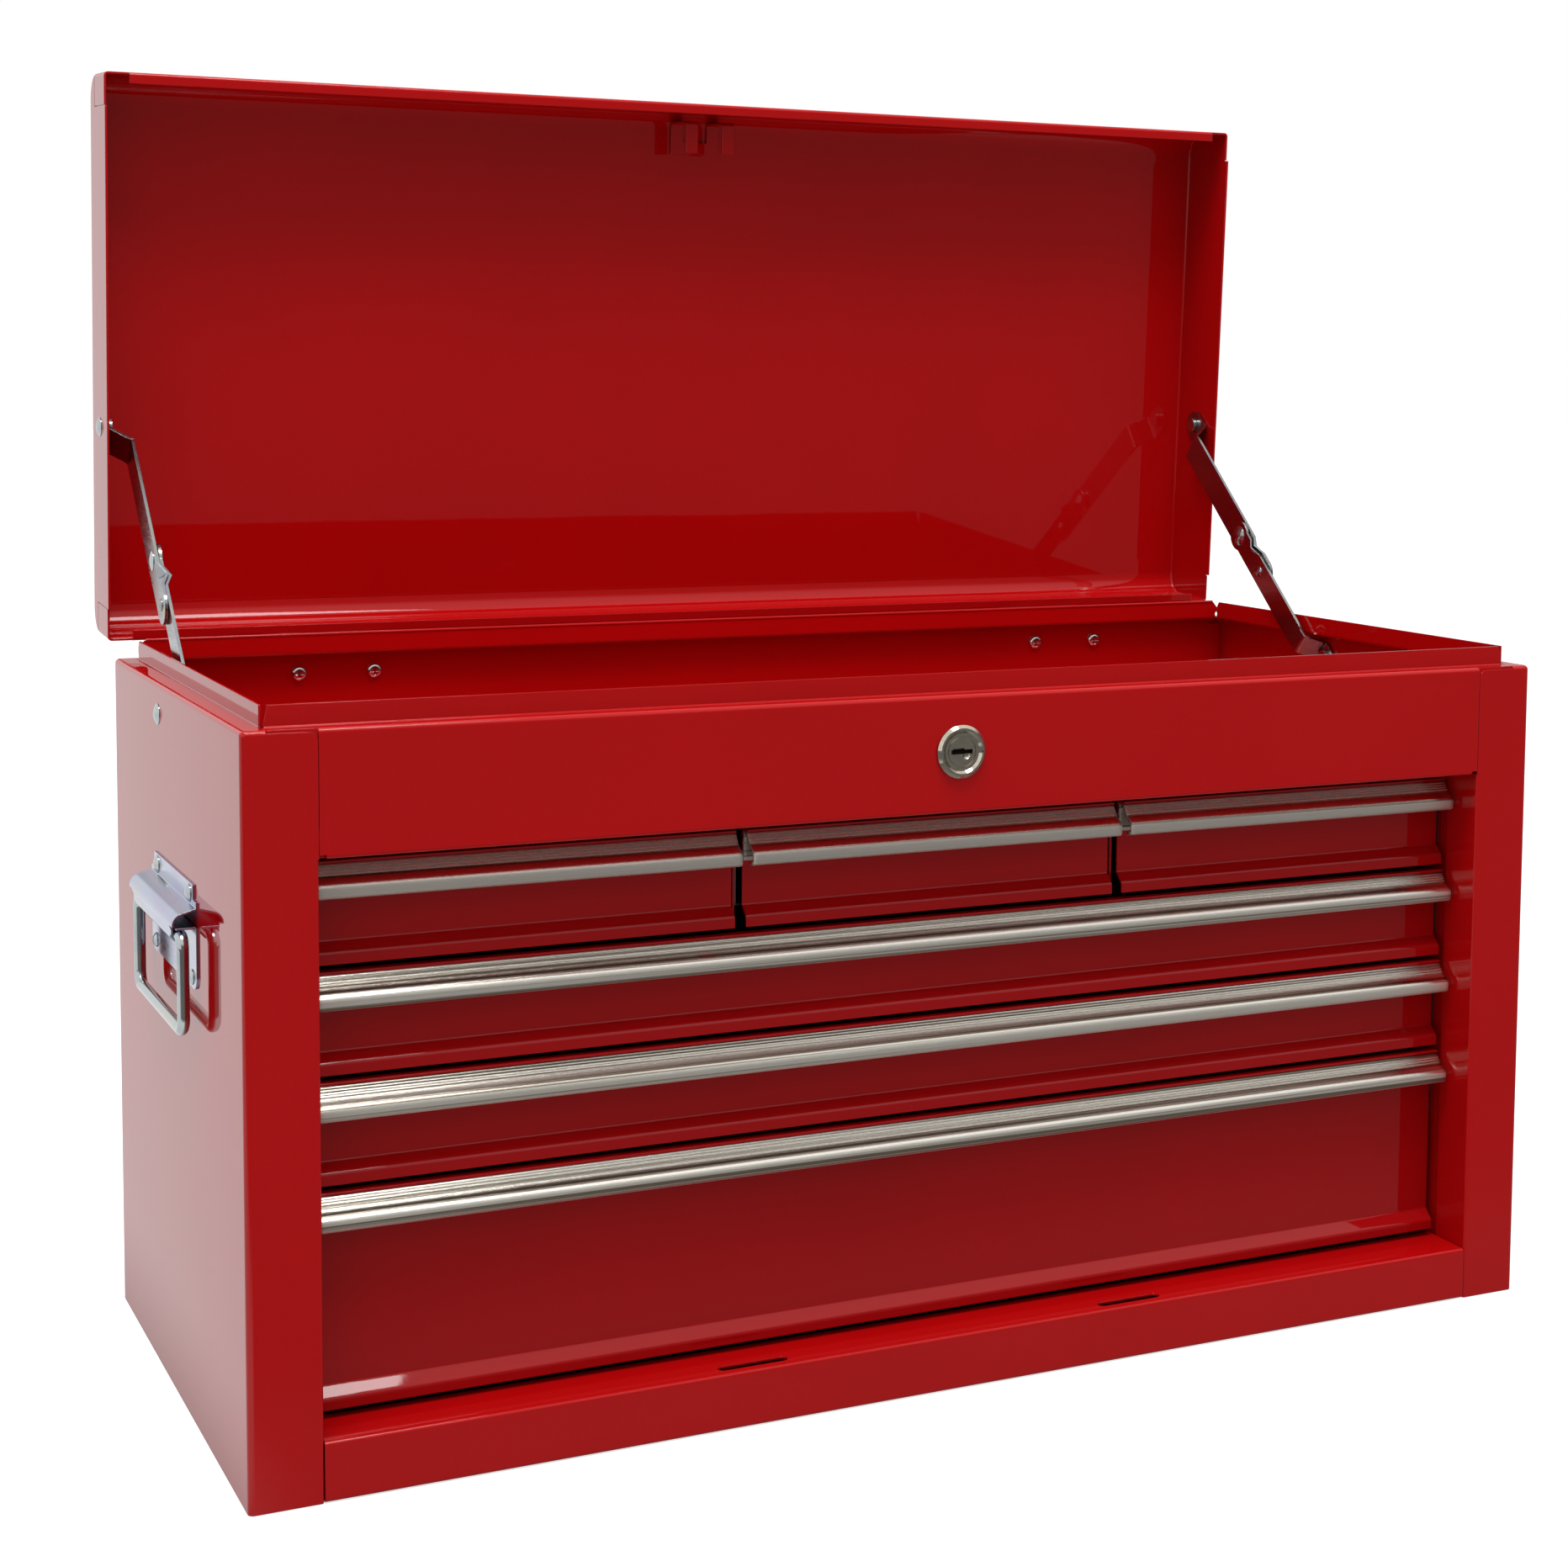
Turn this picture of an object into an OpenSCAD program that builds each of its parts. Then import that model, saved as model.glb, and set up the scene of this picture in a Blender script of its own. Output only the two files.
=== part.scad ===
// Portable sheet-steel tool box: lift-up lid on two folding stays and six drawers on ball slides.
// Units are millimetres. X runs to the right, Y to the rear and Z up. The origin is on the floor,
// at the centre of the footprint. The pose is lid open, drawers shut, handles hanging.

/* [Cabinet] */
// Width over the side panels
width = 600; // [560:1:640]
// Depth over front and rear panels
depth = 264; // [240:1:280]
// Height of the ledge the lid closes over
ledge_z = 300; // [280:1:320]
// Height of the raised rim round the till
rim_z = 308.5; // [305:0.5:312]
// Sheet thickness of cabinet, lid and drawers
sheet_t = 1; // [0.8:0.1:1.2]
// Half width of the drawer opening
opening_x = 271; // [260:1:280]
// Height of the bottom rail
rail_z = 24; // [18:1:30]
// Lower edge of the lock rail
lock_rail_z = 250; // [240:1:260]

/* [Lid] */
// Height of the closed box
closed_z = 340; // [330:1:350]
// Half depth of the lid
lid_y = 130; // [125:0.5:131]
// Outer radius of the rolled front and rear edges
lid_roll = 12; // [8:0.5:16]
// Lid angle from shut to the photographed pose, in degrees
lid_angle = 87.2; // [80:0.1:95]
// Hinge axis, distance behind the centre
hinge_y = 141.2; // [139:0.1:145]
// Hinge axis height
hinge_z = 294.6; // [290:0.1:298]
// Hinge centre, distance from the middle
hinge_x = 198; // [150:1:230]

/* [Stays] */
// Lower stay pivot in the cabinet, Y
stay_low_y = 28.5; // [20:0.5:40]
// Lower stay pivot in the cabinet, Z
stay_low_z = 287; // [280:0.5:290]
// Upper stay pivot in the open lid, Y
stay_up_y = 160.5; // [150:0.5:170]
// Upper stay pivot in the open lid, Z
stay_up_z = 405; // [395:0.5:415]
// Share of the open distance that the lower link covers
knee_share = 0.5076; // [0.5:0.0001:0.52]

/* [Drawers] */
// Outer face of the drawer fronts, distance in front of the centre
front_y = 105.5; // [95:0.5:115]
// Half width of the full-width fronts
front_x = 268.5; // [260:0.5:270]
// Width of one small front
small_w = 175.67; // [170:0.01:178]
// Top of the small drawers
row_1 = 245.4; // [240:0.1:248]
// Top of the first shallow drawer
row_2 = 201.8; // [195:0.1:205]
// Top of the second shallow drawer
row_3 = 158.2; // [150:0.1:165]
// Top of the deep drawer
row_4 = 114.6; // [110:0.1:120]
// Height of the small and shallow fronts
low_h = 41; // [38:0.1:44]
// Height of the deep front
deep_h = 87.2; // [80:0.1:92]

/* [Slides] */
// Length of each rail
slide_l = 220; // [200:1:224]
// Front end of the rails
slide_y = -102; // [-104:1:-98]
// Room across one slide
slide_w = 12.5; // [12:0.1:13]
// Ball diameter
ball_d = 3.8; // [3.5:0.1:4]
// Length of a ball retainer
cage_l = 56; // [40:1:60]

/* [Handles and lock] */
// Centre of the side handles along Y
handle_y = -4; // [-8:0.5:8]
// Wire diameter of the bail
bail_d = 5; // [4:0.1:6]
// Bail axis, distance out from the side panel
bail_x = 6.2; // [5.5:0.1:7]
// Bail axis height
bail_z = 207.2; // [200:0.1:215]
// Half width of the bail, centre line
bail_half = 47.1; // [40:0.1:50]
// Drop of the bail, centre line
bail_drop = 38.4; // [30:0.1:45]
// Lock axis height
lock_z = 276; // [270:0.5:282]
// Lock plug diameter
plug_d = 16; // [14:0.1:17]

/* [Hidden] */
$fn = 64;
side_x = width / 2;
front = depth / 2;
t = sheet_t;
divider_x = opening_x / 3;
side_tray_x = (divider_x + t + opening_x + t) / 2;
small_x = front_x - small_w / 2;
full_tray = opening_x + t - slide_w;
small_tray = divider_x - slide_w;
low_pivot = [stay_low_y, stay_low_z];
up_pivot = [stay_up_y, stay_up_z];
stay_open = norm(up_pivot - low_pivot);
low_len = stay_open * knee_share;
up_len = stay_open - low_len;
stay_angle = atan2(up_pivot[1] - low_pivot[1], up_pivot[0] - low_pivot[0]);
link_in = 286;
link_t = 1.4;
link_out = link_in + link_t + 0.4;

// ---- helpers -------------------------------------------------------------------------------

// Point of a path without its bend radius.
function at(p) = [p[0], p[1]];
// Unit vector from one path point to another.
function way(p, q) = (at(q) - at(p)) / norm(at(q) - at(p));
// Signed bend at path point i.
function bend(p, i) =
    let (u = way(p[i - 1], p[i]), v = way(p[i], p[i + 1]))
    atan2(u[0] * v[1] - u[1] * v[0], u[0] * v[0] + u[1] * v[1]);
// Length that the bend at path point i takes from each flat beside it.
function taken(p, i) = (i == 0 || i == len(p) - 1) ? 0 : p[i][2] * tan(abs(bend(p, i)) / 2);

// Wedge with its point at the origin, from angle a0 over angle da (under 180).
module wedge(r, a0, da) {
    far = r * 3;
    polygon([[0, 0],
             [far * cos(a0), far * sin(a0)],
             [far * cos(a0 + da / 2) * 2, far * sin(a0 + da / 2) * 2],
             [far * cos(a0 + da), far * sin(a0 + da)]]);
}

// Part of a ring between two radii.
module ring_part(r_in, r_out, a0, da) {
    intersection() {
        difference() {
            circle(r = r_out);
            circle(r = r_in);
        }
        wedge(r_out, a0, da);
    }
}

// Section of a folded sheet along its centre line. Inner points are [x, y, bend radius].
module folded(p, th) {
    for (i = [0:len(p) - 2]) {
        u = way(p[i], p[i + 1]);
        a = at(p[i]) + u * taken(p, i);
        l = norm(at(p[i + 1]) - at(p[i])) - taken(p, i) - taken(p, i + 1);
        if (l > 0.001)
            translate(a)
                rotate(atan2(u[1], u[0]))
                    translate([0, -th / 2])
                        square([l, th]);
    }
    for (i = [1:1:len(p) - 2]) {
        b = bend(p, i);
        u = way(p[i - 1], p[i]);
        s = b > 0 ? 1 : -1;
        c = at(p[i]) - u * taken(p, i) + s * p[i][2] * [-u[1], u[0]];
        a0 = atan2(-s * u[0], s * u[1]);
        translate(c)
            ring_part(p[i][2] - th / 2, p[i][2] + th / 2, b > 0 ? a0 : a0 + b, abs(b));
    }
}

// Points of one bend, shifted sideways by off, for a section drawn as one outline.
function bend_points(p, i, off) =
    let (b = bend(p, i),
         u = way(p[i - 1], p[i]),
         s = b > 0 ? 1 : -1,
         c = at(p[i]) - u * taken(p, i) + s * p[i][2] * [-u[1], u[0]],
         a0 = atan2(-s * u[0], s * u[1]),
         n = max(2, ceil(abs(b) / 7)))
    [for (k = [0:n]) c + (p[i][2] - s * off) * [cos(a0 + b * k / n), sin(a0 + b * k / n)]];
// One long edge of such a section.
function edge_points(p, off) =
    let (n = len(p) - 1,
         u = way(p[0], p[1]),
         v = way(p[n - 1], p[n]))
    [at(p[0]) + off * [-u[1], u[0]],
     for (i = [1:1:n - 1]) each bend_points(p, i, off),
     at(p[n]) + off * [-v[1], v[0]]];

// The same section as one closed outline, for sheets that bend at slanting angles.
module curled(p, th) {
    left = edge_points(p, th / 2);
    right = edge_points(p, -th / 2);
    n = len(right) - 1;
    polygon(concat(left, [for (k = [0:n]) right[n - k]]));
}

// Extrude a (y, z) section along X.
module along_x(x0, x1) {
    translate([x0, 0, 0])
        rotate([90, 0, 90])
            linear_extrude(x1 - x0)
                children();
}

// Extrude an (x, z) section along Y.
module along_y(y0, y1) {
    translate([0, y1, 0])
        rotate([90, 0, 0])
            linear_extrude(y1 - y0)
                children();
}

// Extrude an (x, y) section along Z.
module along_z(z0, z1) {
    translate([0, 0, z0])
        linear_extrude(z1 - z0)
            children();
}

// Block between two corners.
module block(a, b) {
    translate(a)
        cube(b - a);
}

// Cylinder along X from x0 to x1.
module rod_x(y, z, x0, x1, d) {
    translate([x0, y, z])
        rotate([0, 90, 0])
            cylinder(h = x1 - x0, d = d);
}

// Cylinder along Y from y0 to y1.
module rod_y(x, z, y0, y1, d) {
    translate([x, y0, z])
        rotate([-90, 0, 0])
            cylinder(h = y1 - y0, d = d);
}

// Both sides of the box.
module both() {
    children();
    mirror([1, 0, 0])
        children();
}

// Shape with a rounded end: width w from s0 to s1, round at both ends.
module slot_shape(s0, s1, w) {
    translate([s0, 0])
        circle(d = w);
    translate([s1, 0])
        circle(d = w);
    translate([s0, -w / 2])
        square([s1 - s0, w]);
}

// Turn the shut lid's parts to the open pose.
module opened() {
    translate([0, hinge_y, hinge_z])
        rotate([-lid_angle, 0, 0])
            translate([0, -hinge_y, -hinge_z])
                children();
}

// ---- cabinet -------------------------------------------------------------------------------

// Right side panel: wall, round corners, front flange with jamb return, rear flange, ledge, rim.
module side_panel() {
    wall = side_x - t / 2;
    face = -front + t / 2;
    back = front - t / 2;
    edge = ledge_z - t / 2;
    low = ledge_z - 2;
    rim_x = side_x - 9.5;
    difference() {
        union() {
            along_z(0, lock_rail_z)
                folded([[opening_x + t / 2, -110], [opening_x + t / 2, face, 0.8], [wall, face, 2],
                        [wall, back, 2], [side_x - 15, back]], t);
            along_z(lock_rail_z, low)
                folded([[opening_x + 4, face], [wall, face, 2], [wall, back, 2], [side_x - 15, back]],
                       t);
            // flange above the opening, with its rounded inner top corner
            along_y(-front, -front + t)
                union() {
                    translate([opening_x, lock_rail_z])
                        square([5, low - 3.2 - lock_rail_z]);
                    translate([opening_x + 4, low - 3.2])
                        circle(r = 4);
                    translate([opening_x + 4, low - 8])
                        square([rim_x - opening_x - 4, 8.8]);
                }
            // ledge: side strip with its round edge and the rim, then front, rear and corners
            along_y(-122, 122)
                folded([[wall, low], [wall, edge, 1.5], [rim_x, edge, 1], [rim_x, rim_z]], t);
            for (s = [-1, 1])
                along_y(s > 0 ? 122 : -front + 2.5, s > 0 ? front - 2.5 : -122)
                    folded([[wall, low], [wall, edge, 1.5], [rim_x, edge]], t);
            for (s = [-1, 1])
                along_x(rim_x, side_x - 2.5)
                    folded([[s * back, low], [s * back, edge, 1.5], [s * (front - 2.5), edge]], t);
            for (s = [-1, 1])
                corner_top(s);
        }
        // relief hole where the side rim meets the front and rear rims
        for (s = [-1, 1])
            translate([rim_x, s * 123.4, ledge_z - 3])
                cylinder(h = 5, d = 2.2);
        rear_relief(1);
        // slanted rear end of the side rim
        along_x(rim_x - 2, rim_x + 2)
            polygon([[121.9, ledge_z + 5.7], [119.4, ledge_z + 9.5], [124, ledge_z + 9.5],
                     [124, ledge_z + 5.7]]);
        // room for the floor's edge under the jamb return
        block([opening_x - 1, -front + 2, -1], [opening_x + 2, -109, t + 0.1]);
        rod_x(stay_low_y, stay_low_z, side_x - 2, side_x + 1, 5.1);
        for (s = [-1, 1]) {
            rod_x(handle_y + s * 33.4, 222.5, side_x - 2, side_x + 1, 4.1);
            rod_x(handle_y + s * 38, 189, side_x - 2, side_x + 1, 4.1);
        }
    }
}

// Rounded top of a vertical corner: s is -1 at the front and 1 at the rear.
module corner_top(s) {
    translate([side_x - 2.5, s * (front - 2.5), 0])
        rotate([0, 0, s > 0 ? 0 : -90])
            rotate_extrude(angle = 90)
                union() {
                    translate([0, ledge_z - t])
                        square([0.5, t]);
                    translate([0.5, ledge_z - 2])
                        ring_part(1, 2, 0, 90);
                }
}

module left_side_panel() {
    color("firebrick")
        mirror([1, 0, 0])
            side_panel();
}

module right_side_panel() {
    color("firebrick")
        side_panel();
}

// Rear panel inside the side panels' rear flanges, with its ledge and rim.
module rear_panel() {
    y = front - 1.5 * t;
    color("firebrick")
        difference() {
            union() {
                along_x(-side_x + 2.6, side_x - 2.6)
                    folded([[y, 1.2], [y, ledge_z - 4]], t);
                along_x(-side_x + 9.6, side_x - 9.6)
                    folded([[y, ledge_z - 4], [y, ledge_z - t / 2, 1], [123, ledge_z - t / 2, 1],
                            [123, rim_z]], t);
            }
            for (s = [-1, 1])
                for (d = [-18, 18])
                    rod_y(s * hinge_x + d, 289.6, 125, 135, 4.1);
            rim_notches(1);
        }
}

// Slanted ends of a front or rear rim, and the relief holes beside them.
module rim_notches(s) {
    for (k = [-1, 1]) {
        translate([k * (side_x - 9.5), s * 123.4, ledge_z - 3])
            cylinder(h = 5, d = 2.2);
        translate([k * (side_x - 9.5), s * 123 + 2, ledge_z + 1.4])
            rotate([90, 0, 0])
                linear_extrude(4)
                    polygon(s > 0 ? [[-k * 0.1, 4.2], [k * 3, 4.2], [k * 3, 12], [-k * 6.55, 12]]
                                  : [[-k * 0.9, 0], [k * 3, 0], [k * 3, 12], [-k * 3.6, 12]]);
        if (s > 0)
            rear_relief(k);
    }
}

// Round relief at a rear corner, where both rims and the ledge meet.
module rear_relief(k) {
    translate([k * (side_x - 9.3), 123, ledge_z + 1.8])
        sphere(d = 3);
}

// Front top panel with ledge, rim, lower return and lock hole.
module lock_rail() {
    face = -front + t / 2;
    edge = ledge_z - t / 2;
    color("firebrick")
        difference() {
            union() {
                along_x(-opening_x + 0.3, opening_x - 0.3)
                    folded([[-123, rim_z], [-123, edge, 1], [face, edge, 1.5],
                            [face, lock_rail_z + t / 2, 1], [-113, lock_rail_z + t / 2]], t);
                // ends behind the side panels' flanges: ledge and rim, and a tab welded to the face
                for (s = [-1, 1]) {
                    along_x(s > 0 ? opening_x - 0.3 : -side_x + 9.6,
                            s > 0 ? side_x - 9.6 : -opening_x + 0.3)
                        folded([[-123, rim_z], [-123, edge, 1], [-front + t, edge]], t);
                    block([s > 0 ? opening_x - 8 : -opening_x - 2, -front + t, lock_rail_z + 12],
                          [s > 0 ? opening_x + 2 : -opening_x + 8, -front + 2 * t, ledge_z - 1.5]);
                    block([s > 0 ? opening_x - 0.3 : -side_x + 9.6, -front + t, lock_rail_z + 12],
                          [s > 0 ? side_x - 9.6 : -opening_x + 0.3, -front + 2 * t,
                           ledge_z - t / 2]);
                }
            }
            rod_y(0, lock_z, -front - 1, -front + 3, 19.1);
            for (s = [-1, 1])
                block([s * opening_x - 3, -front - 1, lock_rail_z - 1],
                      [s * opening_x + 3, -front + 3, lock_rail_z + 1.6]);
            rim_notches(-1);
        }
}

// Folded floor with the front bottom rail.
module base_pan() {
    face = -front + t / 2;
    low = t / 2;
    color("firebrick")
        difference() {
            union() {
                along_x(-opening_x + 0.3, opening_x - 0.3)
                    folded([[front - 3.5 * t + 1, 14], [front - 3.5 * t + 1, low, 1], [face, low, 1],
                            [face, rail_z - t / 2, 1], [-104, rail_z - t / 2, 1], [-104, 12]], t);
                for (s = [-1, 1])
                    along_y(-front + 2.6, front - 2.5 * t - 1)
                        folded([[s * (side_x - 1.5 * t), 14], [s * (side_x - 1.5 * t), low, 1],
                                [s * (opening_x - 1), low]], t);
            }
            for (s = [-1, 1])
                translate([s * 90.5, -125.65, rail_z - 2])
                    linear_extrude(3)
                        slot_shape(-13.15, 13.15, 4.7);
        }
}

// Floor of the top compartment: a flat sheet on the lock rail's return and the liners' tops.
module till_floor() {
    x = side_x - t - 0.1;
    color("firebrick")
        block([-x, -front + 2.6, lock_rail_z + t], [x, front - 2.6, lock_rail_z + 2 * t]);
}

// Two liners that carry the outer rails and two hanging dividers for the top row.
module slide_carriers() {
    x = opening_x + 1.5 * t;
    top = lock_rail_z + t / 2;
    color("firebrick") {
        for (s = [-1, 1])
            along_y(-118, front - 4 * t)
                folded([[s * (x + 20), top], [s * x, top, 1], [s * x, 1.5 * t, 1],
                        [s * (x + 20), 1.5 * t]], t);
        for (s = [-1, 1])
            along_y(-103, front - 4 * t)
                folded([[s * (divider_x + t / 2), 203.2], [s * (divider_x + t / 2), top, 1],
                        [s * (divider_x + t / 2 + 14), top]], t);
    }
}

// Outer rail on a wall at x = 0 that opens towards +X, centred on height z.
module outer_rail(z) {
    along_y(slide_y, slide_y + slide_l)
        translate([0, z])
            folded([[10, 7.6], [10, 9.5, 0.8], [0.5, 9.5, 0.8], [0.5, -9.5, 0.8], [10, -9.5, 0.8],
                    [10, -7.6]], 1);
}

// Inner rail: the same wall at x = 0, so the tray stands at x = slide_w.
module inner_rail(z) {
    along_y(slide_y, slide_y + slide_l - 2)
        translate([0, z])
            folded([[5, 4], [slide_w - 0.5, 4, 0.8], [slide_w - 0.5, -4, 0.8], [5, -4]], 1);
}

// Ball retainer with its balls pressed in.
module cage(z) {
    mid = slide_y + slide_l - (slide_l - 160) / 2 - 80;
    along_y(mid - cage_l / 2, mid + cage_l / 2)
        translate([0, z])
            folded([[8, 6.75], [2.8, 6.75, 0.8], [2.8, -6.75, 0.8], [8, -6.75]], 0.8);
    for (s = [-1, 1])
        for (k = [-2:2])
            translate([6, mid + k * 12, z + s * 6.75])
                sphere(d = ball_d);
}

// Place a slide part at both walls of the drawer room from x0 to x1.
module slides(x0, x1) {
    translate([x0, 0, 0])
        children();
    translate([x1, 0, 0])
        mirror([1, 0, 0])
            children();
}

// Middle height of the slides for a front with top z.
function slide_z(top) = top - 23.4;

wall_x = opening_x + t;

module cabinet_slide_rails() {
    color("silver") {
        slides(-wall_x, -divider_x - t)
            outer_rail(slide_z(row_1));
        slides(-divider_x, divider_x)
            outer_rail(slide_z(row_1));
        slides(divider_x + t, wall_x)
            outer_rail(slide_z(row_1));
        slides(-wall_x, wall_x)
            outer_rail(slide_z(row_2));
        slides(-wall_x, wall_x)
            outer_rail(slide_z(row_3));
        slides(-wall_x, wall_x)
            outer_rail(slide_z(row_4));
    }
}

// ---- hinges --------------------------------------------------------------------------------

// Plate that leaves the knuckle at its top and turns down along the rear panel.
module cabinet_hinge_leaves() {
    y = front - t + 0.8;
    color("lightsteelblue")
        for (s = [-1, 1])
            translate([s * hinge_x, 0, 0])
                difference() {
                    union() {
                        for (k = [-1, 1])
                            along_x(k > 0 ? 8.3 : -25, k > 0 ? 25 : -8.3) {
                                folded([[y, 281], [y, hinge_z + 2.85, 2],
                                        [hinge_y, hinge_z + 2.85]], 1.6);
                                translate([hinge_y, hinge_z])
                                    ring_part(2.05, 3.65, -80, 170);
                                translate([hinge_y, hinge_z])
                                    ring_part(2.05, 3.65, -190, 111);
                            }
                        along_x(-25, 25)
                            folded([[y, 276], [y, 295.5]], 1.6);
                    }
                    for (d = [-18, 18])
                        rod_y(d, 289.6, 129, 136, 4.1);
                    block([-8.3, 133, 280], [8.3, 150, 300]);
                }
}

module hinge_pins() {
    color("silver")
        for (s = [-1, 1]) {
            rod_x(hinge_y, hinge_z, s * hinge_x - 26, s * hinge_x + 26, 4);
            for (k = [-1, 1])
                translate([s * hinge_x + k * 25.9, hinge_y, hinge_z])
                    rotate([0, k * 90, 0])
                        cylinder(h = 1.2, d1 = 5.6, d2 = 4.6);
        }
}

// Hinge screws: round head in the till, nut on the outside.
module hinge_screws() {
    y = front - 2 * t;
    color("silver")
        for (s = [-1, 1])
            for (d = [-18, 18]) {
                translate([s * hinge_x + d, y, 289.6])
                    rotate([90, 0, 0])
                        dome(7, 2.2);
                rod_y(s * hinge_x + d, 289.6, y - 0.5, 137, 4);
                difference() {
                    translate([s * hinge_x + d, front - t + 1.6, 289.6])
                        rotate([-90, 30, 0])
                            linear_extrude(2.4)
                                polygon([for (k = [0:5]) [3.9 * cos(k * 60), 3.9 * sin(k * 60)]]);
                    rod_y(s * hinge_x + d, 289.6, 131, 137, 4.1);
                }
            }
}

// ---- side handles --------------------------------------------------------------------------

// Right side: pressed cover over the bail, and keeper plate with a shelf above the bail.
module handle_plate() {
    x = side_x;
    bulge = [[x + 0.4, 220.8], [x + 0.4, 218.1, 0.7], [x + 9.9, 215.3, 4.5], [x + 9.9, 211.5]];
    skirt = [for (k = [0:2]) bulge[k], [x + 9.9, 211.3, 0.9], [x + bail_x + 2.96, 209.4, 0.9],
             [x + bail_x + 2.96, bail_z]];
    curl = [for (k = [0:4]) skirt[k], [x + bail_x + 2.96, bail_z - 5.1268, 2.96],
            [x + bail_x + 2.96 - 4.7, bail_z - 5.1268 + 2.7135]];
    color("lightsteelblue") {
        difference() {
            union() {
                along_y(handle_y - 46.5, handle_y + 46.5)
                    curled(bulge, 0.8);
                along_y(handle_y - 41, handle_y + 41)
                    curled(skirt, 0.8);
                along_y(handle_y - 38, handle_y + 38)
                    curled(curl, 0.8);
                block([x, handle_y - 40.5, 220.6], [x + 0.8, handle_y + 40.5, 227]);
            }
            for (s = [-1, 1])
                rod_x(handle_y + s * 33.4, 222.5, x - 1, x + 3, 4.1);
        }
        difference() {
            union() {
                along_y(handle_y - 46.5, handle_y + 46.5)
                    folded([[x + 8.6, 210.5], [x + 0.4, 210.5, 0.9], [x + 0.4, 196]], 0.8);
                translate([x, 0, 0])
                    rotate([90, 0, 90])
                        linear_extrude(0.8)
                            union() {
                                translate([handle_y - 46.5, 190.5])
                                    square([93, 8]);
                                for (s = [-1, 1])
                                    translate([handle_y + s * 40.5, 190.5])
                                        circle(r = 6);
                                translate([handle_y - 40.5, 184.5])
                                    square([81, 8]);
                            }
            }
            for (s = [-1, 1])
                rod_x(handle_y + s * 38, 189, x - 1, x + 3, 4.1);
        }
    }
}

module handle_plates() {
    both()
        handle_plate();
}

module handle_rivets() {
    color("silver")
        both()
            for (s = [-1, 1]) {
                rivet(handle_y + s * 33.4, 222.5, side_x - t, side_x + 0.8, 4, 7.6, 1.8);
                rivet(handle_y + s * 38, 189, side_x - t, side_x + 0.8, 4, 6.4, 1.6);
            }
}

// Dome on the plane z = 0: diameter d, height h, with a short upright edge.
module dome(d, h) {
    c = h - 0.3;
    r = (d * d / 4 + c * c) / (2 * c);
    intersection() {
        translate([0, 0, h - r])
            sphere(r = r);
        cylinder(h = h + 1, d = d);
    }
}

// Domed rivet along X through sheets from x0 to x1; the flat upset head is at x0.
module rivet(y, z, x0, x1, d, head, high) {
    rod_x(y, z, x0 - 0.6, x1 + 0.2, d);
    rod_x(y, z, x0 - 1, x0, d + 2);
    translate([x1, y, z])
        rotate([0, 90, 0])
            dome(head, high);
}

// Bail: wire loop whose two short ends turn inwards under the cover.
module bail() {
    r = 5;
    e = bail_half - r;
    color("silver")
        translate([side_x + bail_x, handle_y, bail_z]) {
            for (s = [-1, 1]) {
                rod_y(0, 0, min(s * e, s * 14), max(s * e, s * 14), bail_d);
                translate([0, s * e, -r])
                    rotate([0, -90, 0])
                        rotate([0, 0, s > 0 ? 0 : -90])
                            rotate_extrude(angle = 90)
                                translate([r, 0])
                                    circle(d = bail_d);
                translate([0, s * bail_half, -bail_drop + r + 1])
                    cylinder(h = bail_drop - 2 * r - 1, d = bail_d);
                translate([0, s * (e - 1), -bail_drop + r + 1])
                    rotate([0, -90, 0])
                        rotate([0, 0, s > 0 ? 90 : -180])
                            rotate_extrude(angle = 90)
                                translate([r + 1, 0])
                                    circle(d = bail_d);
            }
            rod_y(0, -bail_drop, -e + 1, e - 1, bail_d);
        }
}

module left_bail() {
    mirror([1, 0, 0])
        bail();
}

module right_bail() {
    bail();
}

// ---- lock ----------------------------------------------------------------------------------

module lock_barrel() {
    color("silver")
        difference() {
            union() {
                rod_y(0, lock_z, -front, -front + 18.7, 19);
                translate([0, -front - 2.2, lock_z])
                    rotate([-90, 0, 0]) {
                        cylinder(h = 1.1, d1 = 20.2, d2 = 22.7);
                        translate([0, 0, 1.1])
                            cylinder(h = 1.1, d = 22.7);
                    }
            }
            rod_y(0, lock_z, -front - 3, -front + 20, plug_d + 0.1);
            translate([0, -front - 2.3, lock_z])
                rotate([-90, 0, 0])
                    cylinder(h = 1.2, d1 = 18.6, d2 = plug_d + 0.1);
        }
}

module lock_nut() {
    color("silver")
        difference() {
            translate([0, -front + t, lock_z])
                rotate([-90, 0, 0])
                    linear_extrude(4)
                        polygon([for (k = [0:5]) [13.8 * cos(k * 60), 13.8 * sin(k * 60)]]);
            rod_y(0, lock_z, -front, -front + 6, 19.1);
        }
}

module lock_plug() {
    color("lightgray")
        difference() {
            union() {
                rod_y(0, lock_z, -front - 1.2, -front + 19.2, plug_d);
                rod_y(0, lock_z, -front + 19, -front + 23.5, 8);
            }
            translate([0, -front - 2, lock_z])
                rotate([-90, 0, 0])
                    linear_extrude(9)
                        square([10, 1.9], center = true);
            translate([0, -front - 2, lock_z])
                rotate([-90, 0, 0])
                    difference() {
                        cylinder(h = 1.3, d = 13.4);
                        cylinder(h = 1.3, d = 12.2);
                    }
        }
}

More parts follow.
